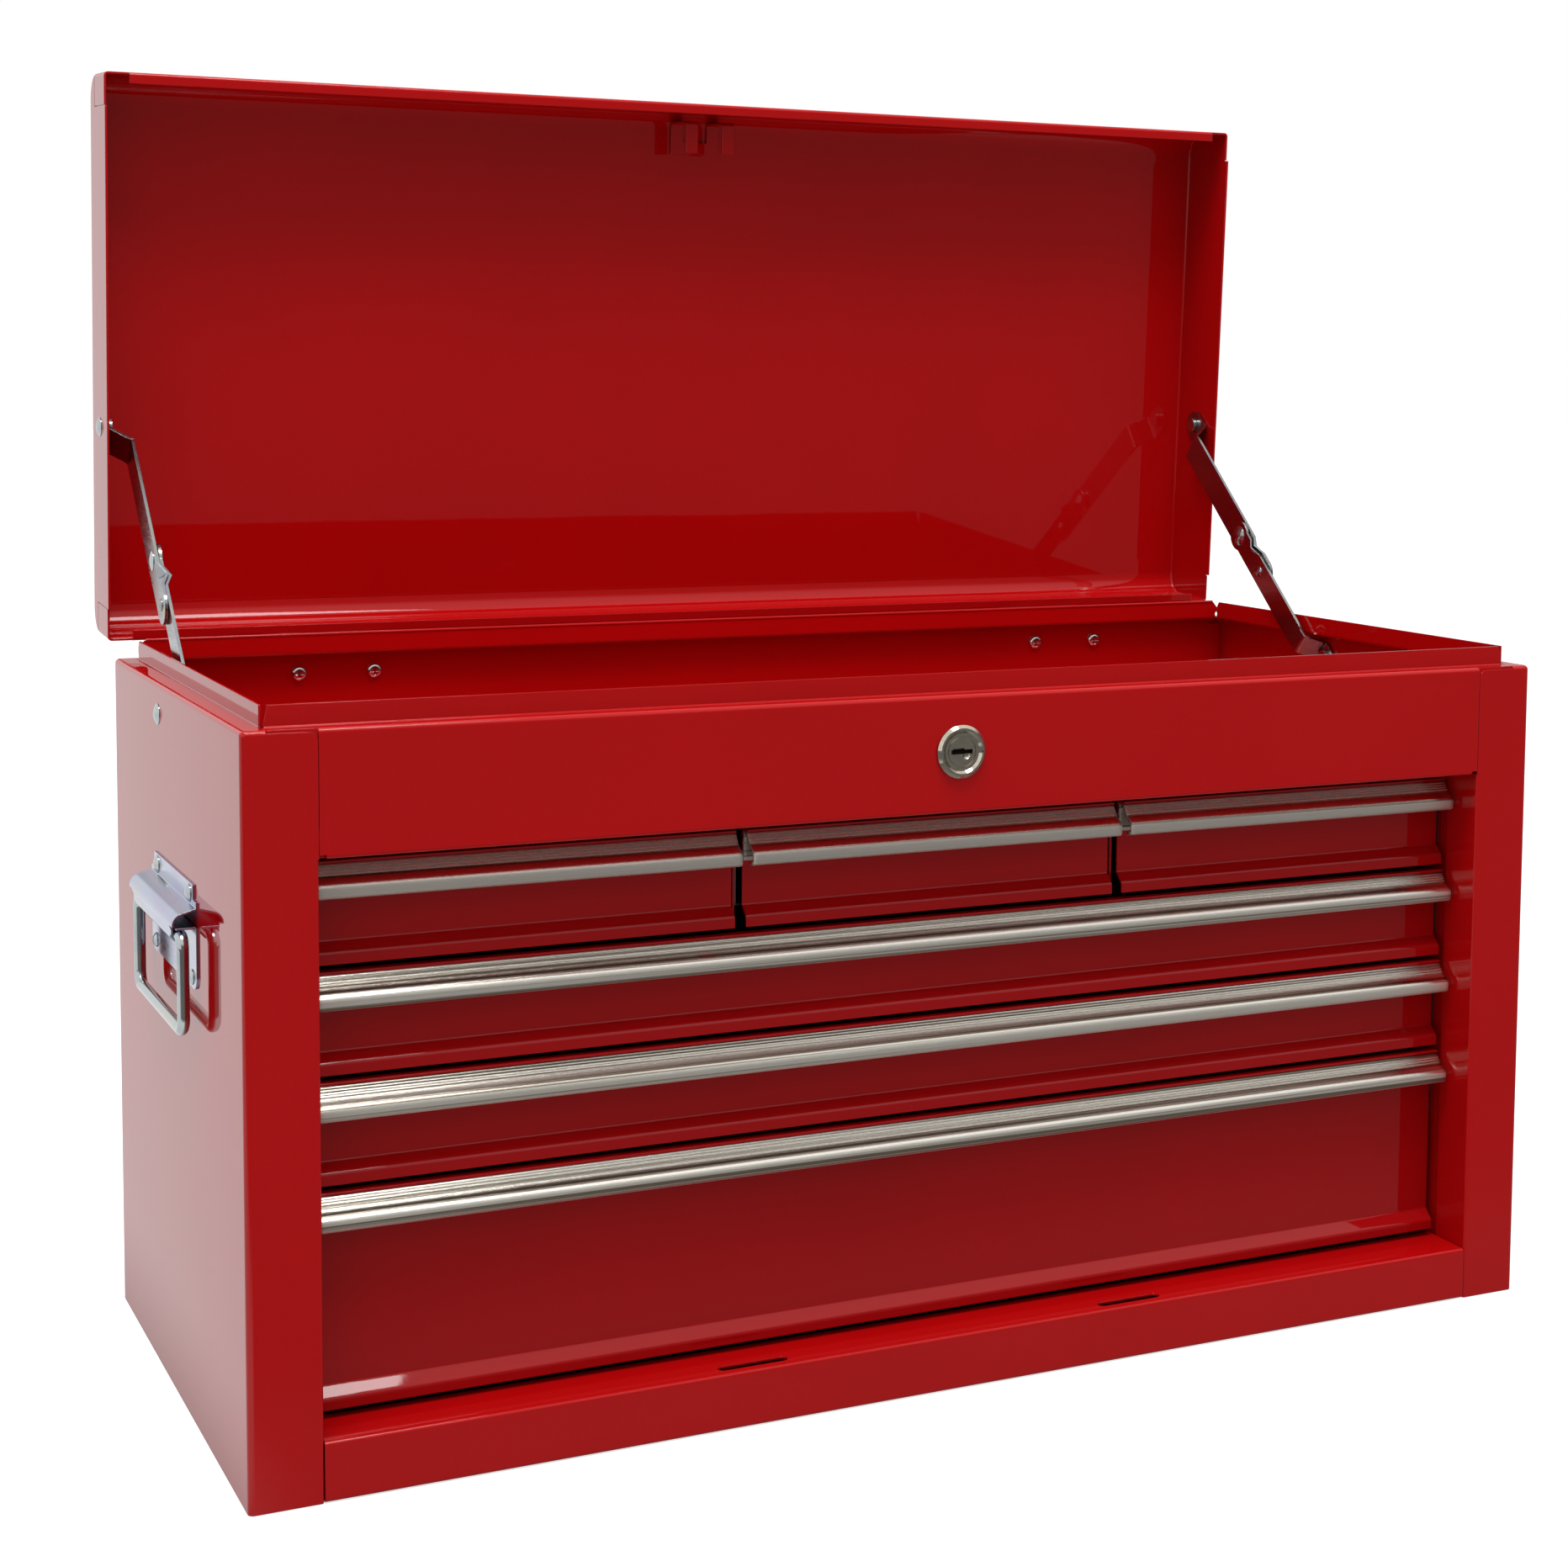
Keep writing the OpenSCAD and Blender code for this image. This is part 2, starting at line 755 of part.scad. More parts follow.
// Cam on the plug's rear stud: arm to the left, with a claw that is an arc about the lock axis.
module lock_cam() {
    color("lightsteelblue")
        difference() {
            translate([0, -front + 21, lock_z])
                rotate([90, 0, 0])
                    linear_extrude(1.8)
                        difference() {
                            union() {
                                circle(d = 15);
                                translate([-46, -4])
                                    square([46, 8]);
                                ring_part(44.5, 48.5, 160, 24.7);
                            }
                            circle(d = 8);
                        }
        }
    color("silver")
        translate([0, -front + 21, lock_z])
            rotate([-90, 0, 0])
                difference() {
                    cylinder(h = 1.8, d = 12);
                    translate([0, 0, -1])
                        cylinder(h = 4, d = 8);
                }
}

// ---- lid (drawn shut, then turned open) ----------------------------------------------------

module lid_shut() {
    edge = ledge_z + 0.5;
    y = lid_y - t / 2;
    z = closed_z - t / 2;
    r = lid_roll;
    difference() {
        union() {
            along_x(-side_x + 2, side_x - 2)
                folded([[-y, edge + 2], [-y, z, r - t / 2], [y, z, r - t / 2], [y, edge + 2]], t);
            for (s = [-1, 1])
                along_x(-289, 289)
                    folded([[s * (y - 4.5), edge + t / 2], [s * y, edge + t / 2, 1],
                            [s * y, edge + 3]], t);
            for (s = [-1, 1]) {
                for (k = [-1, 1])
                    lid_corner(s, k);
                along_y(-lid_y + r, lid_y - r)
                    translate([s * (side_x - 2), closed_z - 2])
                        ring_part(1, 2, s > 0 ? 0 : 90, 90);
                block([s > 0 ? side_x - t : -side_x, -lid_y + 15.2, edge],
                      [s > 0 ? side_x : -side_x + t, lid_y - 15.2, closed_z - 2]);
                block([s > 0 ? side_x - t : -side_x, -lid_y + r, closed_z - r],
                      [s > 0 ? side_x : -side_x + t, lid_y - r, closed_z - 2]);
            }
        }
        for (s = [-1, 1])
            rod_x(lid_pivot[0], lid_pivot[1], s > 0 ? side_x - 3 : -side_x - 1,
                  s > 0 ? side_x + 1 : -side_x + 3, 5.1);
    }
}

// Upper stay pivot in the shut lid.
lid_pivot = [hinge_y + (stay_up_y - hinge_y) * cos(lid_angle) - (stay_up_z - hinge_z) * sin(lid_angle),
             hinge_z + (stay_up_y - hinge_y) * sin(lid_angle) + (stay_up_z - hinge_z) * cos(lid_angle)];

// Corner of the lid: pressed round top and folded flap below a slit. s is the side, k front or rear.
module lid_corner(s, k) {
    r = lid_roll;
    edge = ledge_z + 0.5;
    mirror([s > 0 ? 0 : 1, 0, 0])
        mirror([0, k > 0 ? 0 : 1, 0]) {
            translate([0, lid_y - r, closed_z - r])
                rotate([90, 0, 90])
                    rotate_extrude(angle = 90)
                        union() {
                            translate([0, side_x - t])
                                square([r - 2, t]);
                            translate([r - 2, side_x - 2])
                                ring_part(1, 2, 0, 90);
                        }
            along_z(edge + 2, closed_z - r - 0.7)
                folded([[side_x - 8, lid_y - t / 2], [side_x - t / 2, lid_y - t / 2, 1.5],
                        [side_x - t / 2, lid_y - 15 + 0.2]], t);
            // both slits are closed from the inside and show as grooves, with a notch at the edge
            along_z(closed_z - r - 1, closed_z - r + 0.3)
                folded([[side_x - 8, lid_y - 0.75 * t], [side_x - 0.75 * t, lid_y - 0.75 * t, 1.25],
                        [side_x - 0.75 * t, lid_y - 15.5]], t / 2);
            block([side_x - t, lid_y - 15.5, edge + 2.5], [side_x - t / 2, lid_y - 14.5, closed_z - r]);
        }
}

module lid_shell() {
    color("firebrick")
        opened()
            lid_shut();
}

// Striker: strap under the lid's top with two hanging legs, each with a foot to the rear.
module lid_striker() {
    top = closed_z - t;
    color("lightsteelblue")
        opened() {
            for (s = [-1, 1])
                along_x(s > 0 ? 6.5 : -13, s > 0 ? 13 : -6.5)
                    folded([[-106, top - 1], [-121.4, top - 1, 1.2], [-121.4, 317.4, 1.2],
                            [-106, 317.4]], 1.2);
            block([-13, -112, top - 1.6], [13, -106, top]);
        }
}

module lid_hinge_leaves() {
    y = lid_y + 0.8;
    out = hinge_y + 2.85;
    color("lightsteelblue")
        opened()
            for (s = [-1, 1])
                translate([s * hinge_x, 0, 0]) {
                    along_x(-8, 8) {
                        folded([[y, 330], [y, 304.2, 1.6], [out, 304.2, 1.6], [out, hinge_z]], 1.6);
                        translate([hinge_y, hinge_z])
                            ring_part(2.05, 3.65, -110, 110);
                        translate([hinge_y, hinge_z])
                            ring_part(2.05, 3.65, -260, 151);
                    }
                    along_x(-25, 25)
                        folded([[y, 334], [y, 307]], 1.6);
                }
}

// ---- stays ---------------------------------------------------------------------------------

// Put a link drawn along s (local X), across w (local Y) and out (local Z) at a pivot.
module on_link(pivot, angle) {
    translate([0, pivot[0], pivot[1]])
        rotate([90, 0, 90])
            rotate([0, 0, angle])
                children();
}

// Strip of a link in the (s, out) plane, wide enough for every outline.
module link_strip(p) {
    translate([0, 20, 0])
        rotate([90, 0, 0])
            linear_extrude(40)
                curled(p, link_t);
}

// V pressed inwards into a link's front edge: point at (s, w) in the face at height out.
module edge_press(s, w, out) {
    translate([s, w, out])
        rotate([-126.87, 0, 0])
            linear_extrude(8)
                polygon([[0, 0], [13, -4.8], [-13, -4.8]]);
}

// Lower link: narrow joggled foot, plain strip, pressed V and round end at the knee.
module lower_link() {
    c = link_in + link_t / 2;
    foot = side_x - t - 0.4 - link_t / 2;
    press = low_len - 15;
    color("lightsteelblue")
        on_link(low_pivot, stay_angle)
            difference() {
                intersection() {
                    union() {
                        link_strip([[-9, foot], [4.9, foot, 1.4], [10.4, c, 1.4],
                                    [low_len + 12, c]]);
                        intersection() {
                            edge_press(press, 3, link_in);
                            block([press - 12, 0, link_in - 5], [press + 12, 12, link_in + 0.3]);
                        }
                    }
                    translate([0, 0, 270])
                        linear_extrude(40)
                            difference() {
                                union() {
                                    circle(r = 6);
                                    translate([0, -6])
                                        square([18, 12]);
                                    translate([16, -6.5])
                                        square([low_len - 16, 13]);
                                    translate([low_len, 0])
                                        circle(r = 8);
                                }
                                circle(d = 5.1);
                            }
                }
                edge_press(press, 3, link_in + link_t);
            }
    color("lightsteelblue")
        on_link(low_pivot, stay_angle) {
            translate([low_len - 27, 0, link_in])
                rotate([180, 0, 0])
                    dome(5.6, 1.3);
            // inner head of the knee rivet
            translate([low_len, 0, link_in + 0.1])
                rotate([180, 0, 0])
                    dome(10.4, 2.2);
        }
}

// Upper link: joggled head at the lid, strip, tail past the knee with a V nested in the lower one.
module upper_link() {
    c = link_out + link_t / 2;
    head = side_x - t - 0.4 - link_t / 2;
    press = up_len + 15;
    color("lightsteelblue")
        on_link(up_pivot, stay_angle + 180)
            difference() {
                intersection() {
                    union() {
                        link_strip([[-10, head], [8.5, head, 1.6], [16.5, c, 1.6],
                                    [up_len + 40, c]]);
                        mirror([0, 1, 0])
                            intersection() {
                                edge_press(press, 4, link_out);
                                block([press - 12, 0, link_out - 5],
                                      [press + 12, 12, link_out + 0.3]);
                            }
                    }
                    translate([0, 0, 270])
                        linear_extrude(40)
                            difference() {
                                union() {
                                    slot_shape(0, 20, 15);
                                    translate([18, -8])
                                        square([up_len - 18 + 28, 16]);
                                    translate([18, 0])
                                        circle(r = 8);
                                    translate([up_len + 28, 0])
                                        circle(r = 8);
                                }
                                circle(d = 5.1);
                                translate([up_len, 0])
                                    circle(d = 6.1);
                            }
                }
                mirror([0, 1, 0])
                    edge_press(press, 4, link_out + link_t);
            }
    color("lightsteelblue")
        on_link(up_pivot, stay_angle + 180)
            translate([up_len + 27, 0, link_out + link_t])
                dome(5.6, 1.3);
}

// Rivet at the knee: shank in the upper link and outer head. The pivot is opened between the links.
module knee_rivet() {
    color("silver")
        on_link(low_pivot, stay_angle)
            translate([low_len, 0, 0]) {
                translate([0, 0, link_out])
                    cylinder(h = link_t + 0.2, d = 6);
                translate([0, 0, link_out + link_t])
                    dome(9.4, 1.2);
            }
}

module left_upper_link() {
    mirror([1, 0, 0])
        upper_link();
}

module left_lower_link() {
    mirror([1, 0, 0])
        lower_link();
}

module left_knee_rivet() {
    mirror([1, 0, 0])
        knee_rivet();
}

module right_upper_link() {
    upper_link();
}

module right_lower_link() {
    lower_link();
}

module right_knee_rivet() {
    knee_rivet();
}

// Stay rivet: dome outside, shank through the wall, flat head inside the link's end.
module stay_rivet(y, z) {
    in = side_x - t - 0.4 - link_t;
    rod_x(y, z, in - 0.6, side_x + 0.2, 5);
    rod_x(y, z, in - 2.2, in - 0.2, 7.6);
    translate([side_x, y, z])
        rotate([0, 90, 0])
            dome(9, 1.8);
}

module stay_cabinet_rivets() {
    color("silver")
        both()
            stay_rivet(stay_low_y, stay_low_z);
}

module stay_lid_rivets() {
    color("silver")
        opened()
            both()
                stay_rivet(lid_pivot[0], lid_pivot[1]);
}

// ---- drawers -------------------------------------------------------------------------------

// Open tray from half width w about x, bottom at z, with sides h high.
module tray(x, w, z, h) {
    back = front - 10;
    y0 = -front_y + t;
    color("firebrick")
        translate([x, 0, 0]) {
            along_y(y0, back)
                folded([[-w + 1.5 * t, z + h - 6], [-w + 1.5 * t, z + h - 1.1, 0.55],
                        [-w + t / 2, z + h - 1.1, 0.55], [-w + t / 2, z + t / 2, 1.5],
                        [w - t / 2, z + t / 2, 1.5], [w - t / 2, z + h - 1.1, 0.55],
                        [w - 1.5 * t, z + h - 1.1, 0.55], [w - 1.5 * t, z + h - 6]], t);
            block([-w + t / 2, back - t, z + t / 2], [w - t / 2, back, z + h - 4]);
            for (s = [-1, 1])
                block([s > 0 ? w - 14 : -w + t / 2, y0, z + 3],
                      [s > 0 ? w - t / 2 : -w + 14, y0 + t, z + h - 8]);
        }
}

// Folded front: top flange to the front, flat face, flared foot with a short lip.
module drawer_front(x, w, top, h) {
    y = -front_y + t / 2;
    low = top - h;
    color("firebrick")
        along_x(x - w, x + w)
            curled([[-111, top - t / 2], [y, top - t / 2, 0.8], [y, low + 8.6, 2],
                    [y - 4.5, low + 4.2, 2], [y - 4.5, low]], t);
}

// Extruded pull hooked under the flange of the front, with fine grooves on its slope.
module pull(x, w, top) {
    z = top - t;
    color("gainsboro")
        along_x(x - w, x + w)
            difference() {
                translate([-front_y, z])
                    curled([[-0.75, -12.6], [-0.75, -0.75, 0.85], [-4.6, -0.75, 0.9],
                            [-7.55, -5, 1.6], [-11.65, -7.95, 1.6], [-11.6, -12, 1],
                            [-8.2, -12.9]], 1.5);
                for (k = [0:3])
                    translate([-front_y - 5.72 - k * 0.7, z - 1.3 - k * 0.97])
                        circle(d = 0.6, $fn = 16);
            }
}

// Slides are 23.4 below the top of each front.
module drawer_rails(x0, x1, top) {
    color("silver")
        slides(x0, x1)
            inner_rail(slide_z(top));
}

module drawer_cages(x0, x1, top) {
    color("gray")
        slides(x0, x1)
            cage(slide_z(top));
}

module small_left_tray() {
    tray(-side_tray_x, small_tray, row_1 - low_h + 1.5, 33);
}

module small_left_front() {
    drawer_front(-small_x, small_w / 2, row_1, low_h);
}

module small_left_pull() {
    pull(-small_x, small_w / 2, row_1);
}

module small_left_rails() {
    drawer_rails(-wall_x, -divider_x - t, row_1);
}

module small_left_cages() {
    drawer_cages(-wall_x, -divider_x - t, row_1);
}

module small_mid_tray() {
    tray(0, small_tray, row_1 - low_h + 1.5, 33);
}

module small_mid_front() {
    drawer_front(0, small_w / 2, row_1, low_h);
}

module small_mid_pull() {
    pull(0, small_w / 2, row_1);
}

module small_mid_rails() {
    drawer_rails(-divider_x, divider_x, row_1);
}

module small_mid_cages() {
    drawer_cages(-divider_x, divider_x, row_1);
}

module small_right_tray() {
    tray(side_tray_x, small_tray, row_1 - low_h + 1.5, 33);
}

module small_right_front() {
    drawer_front(small_x, small_w / 2, row_1, low_h);
}

module small_right_pull() {
    pull(small_x, small_w / 2, row_1);
}

module small_right_rails() {
    drawer_rails(divider_x + t, wall_x, row_1);
}

module small_right_cages() {
    drawer_cages(divider_x + t, wall_x, row_1);
}

module second_tray() {
    tray(0, full_tray, row_2 - low_h + 1.5, 33);
}

module second_front() {
    drawer_front(0, front_x, row_2, low_h);
}

module second_pull() {
    pull(0, front_x, row_2);
}

module second_rails() {
    drawer_rails(-wall_x, wall_x, row_2);
}

module second_cages() {
    drawer_cages(-wall_x, wall_x, row_2);
}

module third_tray() {
    tray(0, full_tray, row_3 - low_h + 1.5, 33);
}

module third_front() {
    drawer_front(0, front_x, row_3, low_h);
}

module third_pull() {
    pull(0, front_x, row_3);
}

module third_rails() {
    drawer_rails(-wall_x, wall_x, row_3);
}

module third_cages() {
    drawer_cages(-wall_x, wall_x, row_3);
}

module deep_tray() {
    tray(0, full_tray, row_4 - deep_h + 1.5, 78);
}

module deep_front() {
    drawer_front(0, front_x, row_4, deep_h);
}

module deep_pull() {
    pull(0, front_x, row_4);
}

module deep_rails() {
    drawer_rails(-wall_x, wall_x, row_4);
}

module deep_cages() {
    drawer_cages(-wall_x, wall_x, row_4);
}

// ---- what is drawn ------------------------------------------------------------------------

left_side_panel();
right_side_panel();
rear_panel();
lock_rail();
base_pan();
till_floor();
slide_carriers();
cabinet_slide_rails();
cabinet_hinge_leaves();
hinge_pins();
hinge_screws();
handle_plates();
handle_rivets();
lock_barrel();
lock_nut();
stay_cabinet_rivets();
lid_shell();
lid_striker();
lid_hinge_leaves();
stay_lid_rivets();
left_upper_link();
left_lower_link();
left_knee_rivet();
right_upper_link();
right_lower_link();
right_knee_rivet();
left_bail();
right_bail();
lock_plug();
lock_cam();
small_left_tray();
small_left_front();
small_left_pull();
small_left_rails();
small_left_cages();
small_mid_tray();
small_mid_front();
small_mid_pull();
small_mid_rails();
small_mid_cages();
small_right_tray();
small_right_front();
small_right_pull();
small_right_rails();
small_right_cages();
second_tray();
second_front();
second_pull();
second_rails();
second_cages();
third_tray();
third_front();
third_pull();
third_rails();
third_cages();
deep_tray();
deep_front();
deep_pull();
deep_rails();
deep_cages();
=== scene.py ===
"""Looks of the portable red tool box: finishes, hand-shaped small parts, studio and camera.

Lengths in the dataclasses are millimetres in the part's own frame. Meshes are in metres.
"""

import logging
import math
from abc import ABC, abstractmethod
from dataclasses import dataclass
from enum import Enum
from typing import Any, Callable, Iterable

import bmesh
import bpy
from mathutils import Matrix, Vector


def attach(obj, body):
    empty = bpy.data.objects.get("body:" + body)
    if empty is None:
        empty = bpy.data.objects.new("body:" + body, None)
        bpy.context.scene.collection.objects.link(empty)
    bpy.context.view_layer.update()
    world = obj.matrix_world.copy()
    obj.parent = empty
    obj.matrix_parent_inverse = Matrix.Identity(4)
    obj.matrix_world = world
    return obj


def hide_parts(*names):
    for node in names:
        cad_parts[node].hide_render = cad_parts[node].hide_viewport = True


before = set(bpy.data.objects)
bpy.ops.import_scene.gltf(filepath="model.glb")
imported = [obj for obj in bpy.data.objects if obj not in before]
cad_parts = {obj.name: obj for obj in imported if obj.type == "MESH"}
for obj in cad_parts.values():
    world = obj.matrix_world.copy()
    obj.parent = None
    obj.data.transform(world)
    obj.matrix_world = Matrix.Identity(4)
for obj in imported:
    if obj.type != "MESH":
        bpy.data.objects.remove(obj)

LOG = logging.getLogger("tool_box")
MM = 0.001
NEAR = 1e-6  # metres within which two places are one
WELD = 2e-6  # metres within which a copy's loose corners are merged
SMOOTH = math.radians(35)  # faces that meet at less than this share a smooth shade
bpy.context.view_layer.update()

Triple = tuple[float, float, float]
Pair = tuple[float, float]


class Side(Enum):
    """Which side of the box a part stands on."""

    LEFT = "left"
    RIGHT = "right"


class Place(Enum):
    """Where a drawer stands in the cabinet."""

    SMALL_LEFT = "small_left"
    SMALL_MID = "small_mid"
    SMALL_RIGHT = "small_right"
    SECOND = "second"
    THIRD = "third"
    DEEP = "deep"


# ---- colours and nodes -------------------------------------------------------------------------


def linear(colour: str) -> tuple[float, float, float, float]:
    """Turn an sRGB hex colour into linear RGBA.

    Args:
        colour: Hex colour such as "#A01416".

    Returns:
        Linear red, green and blue with alpha 1.
    """
    parts = [int(colour[i:i + 2], 16) / 255 for i in (1, 3, 5)]
    r, g, b = (c / 12.92 if c <= 0.04045 else ((c + 0.055) / 1.055) ** 2.4 for c in parts)
    return (r, g, b, 1.0)


def per(size_mm: float) -> float:
    """Pattern scale whose features are size_mm apart, for coordinates in metres."""
    return 1 / (size_mm * MM)


def feed(
    tree: bpy.types.NodeTree,
    node: bpy.types.Node,
    values: dict[Any, Any],
    links: dict[Any, bpy.types.NodeSocket],
) -> None:
    """Set a node's constant inputs and link the others.

    Args:
        tree: Node tree that holds the node.
        node: The node.
        values: Input socket name or number to constant value.
        links: Input socket name or number to the output that feeds it.
    """
    for socket, value in values.items():
        node.inputs[socket].default_value = value
    for socket, source in links.items():
        tree.links.new(source, node.inputs[socket])


def add_node(
    tree: bpy.types.NodeTree,
    kind: str,
    values: dict[Any, Any] | None = None,
    links: dict[Any, bpy.types.NodeSocket] | None = None,
    **settings: Any,
) -> bpy.types.Node:
    """Add a shader node with its settings, values and links.

    Args:
        tree: Node tree that gets the node.
        kind: Blender's name for the node type.
        values: Input socket name or number to constant value.
        links: Input socket name or number to the output that feeds it.
        **settings: Properties of the node itself.

    Returns:
        The new node.
    """
    node = tree.nodes.new(kind)
    for name, value in settings.items():
        setattr(node, name, value)
    feed(tree, node, values or {}, links or {})
    return node


# ---- finishes ----------------------------------------------------------------------------------


@dataclass(frozen=True)
class Finish(ABC):
    """A surface finish that becomes one Blender material."""

    name: str

    @abstractmethod
    def shade(self, tree: bpy.types.NodeTree, shader: bpy.types.Node) -> None:
        """Set the shader's sockets and add the pattern nodes.

        Args:
            tree: The material's node tree.
            shader: Its Principled node.
        """

    def material(self) -> bpy.types.Material:
        """Make the finish's material the first time it is asked for.

        Returns:
            The material.
        """
        made = bpy.data.materials.get(self.name)
        if made:
            return made
        made = bpy.data.materials.new(self.name)
        made.use_nodes = True
        made.node_tree.nodes.clear()
        shader = add_node(made.node_tree, "ShaderNodeBsdfPrincipled")
        add_node(made.node_tree, "ShaderNodeOutputMaterial", links={0: shader.outputs[0]})
        self.shade(made.node_tree, shader)
        return made

    def place(self, tree: bpy.types.NodeTree, stretch: Triple) -> bpy.types.NodeSocket:
        """Lay a pattern on the piece's own coordinates, drawn out along the axes.

        Args:
            tree: The material's node tree.
            stretch: Factors along X, Y and Z. A small one draws the pattern out.

        Returns:
            The vector output for a pattern.
        """
        coords = add_node(tree, "ShaderNodeTexCoord")
        return add_node(
            tree, "ShaderNodeMapping", {"Scale": stretch}, {"Vector": coords.outputs["Object"]}
        ).outputs[0]


@dataclass(frozen=True)
class BakedEnamel(Finish):
    """Baked gloss enamel on sheet steel: deep red under a clear, mirror-like skin.

    The skin shows a faint orange peel and the slow waves of thin pressed sheet.
    """

    colour: str = "#B2070A"
    deep: str = "#A60608"
    cloud_mm: float = 95.0
    roughness: float = 0.42
    skin: float = 0.025
    skin_ior: float = 1.4
    edge_mm: float = 0.6
    peel_mm: float = 3.2
    peel_high_mm: float = 0.0022
    wave_mm: float = 130.0
    wave_high_mm: float = 0.16

    def shade(self, tree: bpy.types.NodeTree, shader: bpy.types.Node) -> None:
        """Blend two near reds, round the sheet's edges and bend the skin a little.

        Args:
            tree: The material's node tree.
            shader: Its Principled node.
        """
        here = self.place(tree, (1, 1, 1))
        cloud = add_node(
            tree, "ShaderNodeTexNoise", {"Scale": per(self.cloud_mm), "Detail": 3.0},
            {"Vector": here},
        )
        colour = add_node(
            tree, "ShaderNodeMix", {6: linear(self.deep), 7: linear(self.colour)},
            {0: cloud.outputs[0]}, data_type="RGBA",
        )
        edge = add_node(tree, "ShaderNodeBevel", {"Radius": self.edge_mm * MM}, samples=4)
        wave = add_node(
            tree, "ShaderNodeTexNoise", {"Scale": per(self.wave_mm), "Detail": 1.0},
            {"Vector": here},
        )
        waved = add_node(
            tree, "ShaderNodeBump", {"Strength": 1.0, "Distance": self.wave_high_mm * MM},
            {"Height": wave.outputs[0], "Normal": edge.outputs[0]},
        )
        peel = add_node(
            tree, "ShaderNodeTexNoise", {"Scale": per(self.peel_mm), "Detail": 2.0},
            {"Vector": here},
        )
        skin = add_node(
            tree, "ShaderNodeBump", {"Strength": 1.0, "Distance": self.peel_high_mm * MM},
            {"Height": peel.outputs[0], "Normal": waved.outputs[0]},
        ).outputs[0]
        feed(
            tree, shader,
            {
                "Roughness": self.roughness, "IOR": 1.5, "Specular IOR Level": 0.0,
                "Coat Weight": 1.0, "Coat IOR": self.skin_ior, "Coat Roughness": self.skin,
            },
            {"Base Color": colour.outputs[2], "Normal": skin, "Coat Normal": skin},
        )


@dataclass(frozen=True)
class PlatedSteel(Finish):
    """Zinc-plated pressed steel: cool grey with faint blue, lilac and straw patches.

    The grain of the rolled sheet runs along Y and shows as fine streaks in the gloss.
    """

    cool: str = "#AEB6C6"
    warm: str = "#BCB9BC"
    lilac: str = "#B4AEC6"
    smooth: float = 0.24
    dull: float = 0.40
    patch_mm: float = 14.0
    patch_stretch: Triple = (1, 0.35, 1)
    patch_steps: Triple = (0.32, 0.48, 0.66)
    grain_mm: float = 0.5
    grain_stretch: Triple = (1, 0.05, 1)
    grain_high_mm: float = 0.002
    edge_mm: float = 0.3

    def shade(self, tree: bpy.types.NodeTree, shader: bpy.types.Node) -> None:
        """Mottle the colour and the gloss, with the plating's fine grain as a bump.

        Args:
            tree: The material's node tree.
            shader: Its Principled node.
        """
        patch = add_node(
            tree, "ShaderNodeTexNoise", {"Scale": per(self.patch_mm), "Detail": 3.0},
            {"Vector": self.place(tree, self.patch_stretch)},
        )
        ramp = add_node(tree, "ShaderNodeValToRGB", links={0: patch.outputs[0]})
        stops = ramp.color_ramp.elements
        low, middle, high = self.patch_steps
        stops[0].position, stops[0].color = low, linear(self.warm)
        stops[1].position, stops[1].color = high, linear(self.lilac)
        stops.new(middle).color = linear(self.cool)
        grain = add_node(
            tree, "ShaderNodeTexNoise", {"Scale": per(self.grain_mm), "Detail": 2.0},
            {"Vector": self.place(tree, self.grain_stretch)},
        )
        gloss = add_node(
            tree, "ShaderNodeMapRange",
            {"From Min": 0.3, "From Max": 0.7, "To Min": self.smooth, "To Max": self.dull},
            {"Value": grain.outputs[0]},
        )
        edge = add_node(tree, "ShaderNodeBevel", {"Radius": self.edge_mm * MM}, samples=4)
        bump = add_node(
            tree, "ShaderNodeBump", {"Strength": 1.0, "Distance": self.grain_high_mm * MM},
            {"Height": grain.outputs[0], "Normal": edge.outputs[0]},
        )
        feed(
            tree, shader, {"Metallic": 1.0},
            {
                "Base Color": ramp.outputs[0], "Roughness": gloss.outputs[0],
                "Normal": bump.outputs[0],
            },
        )


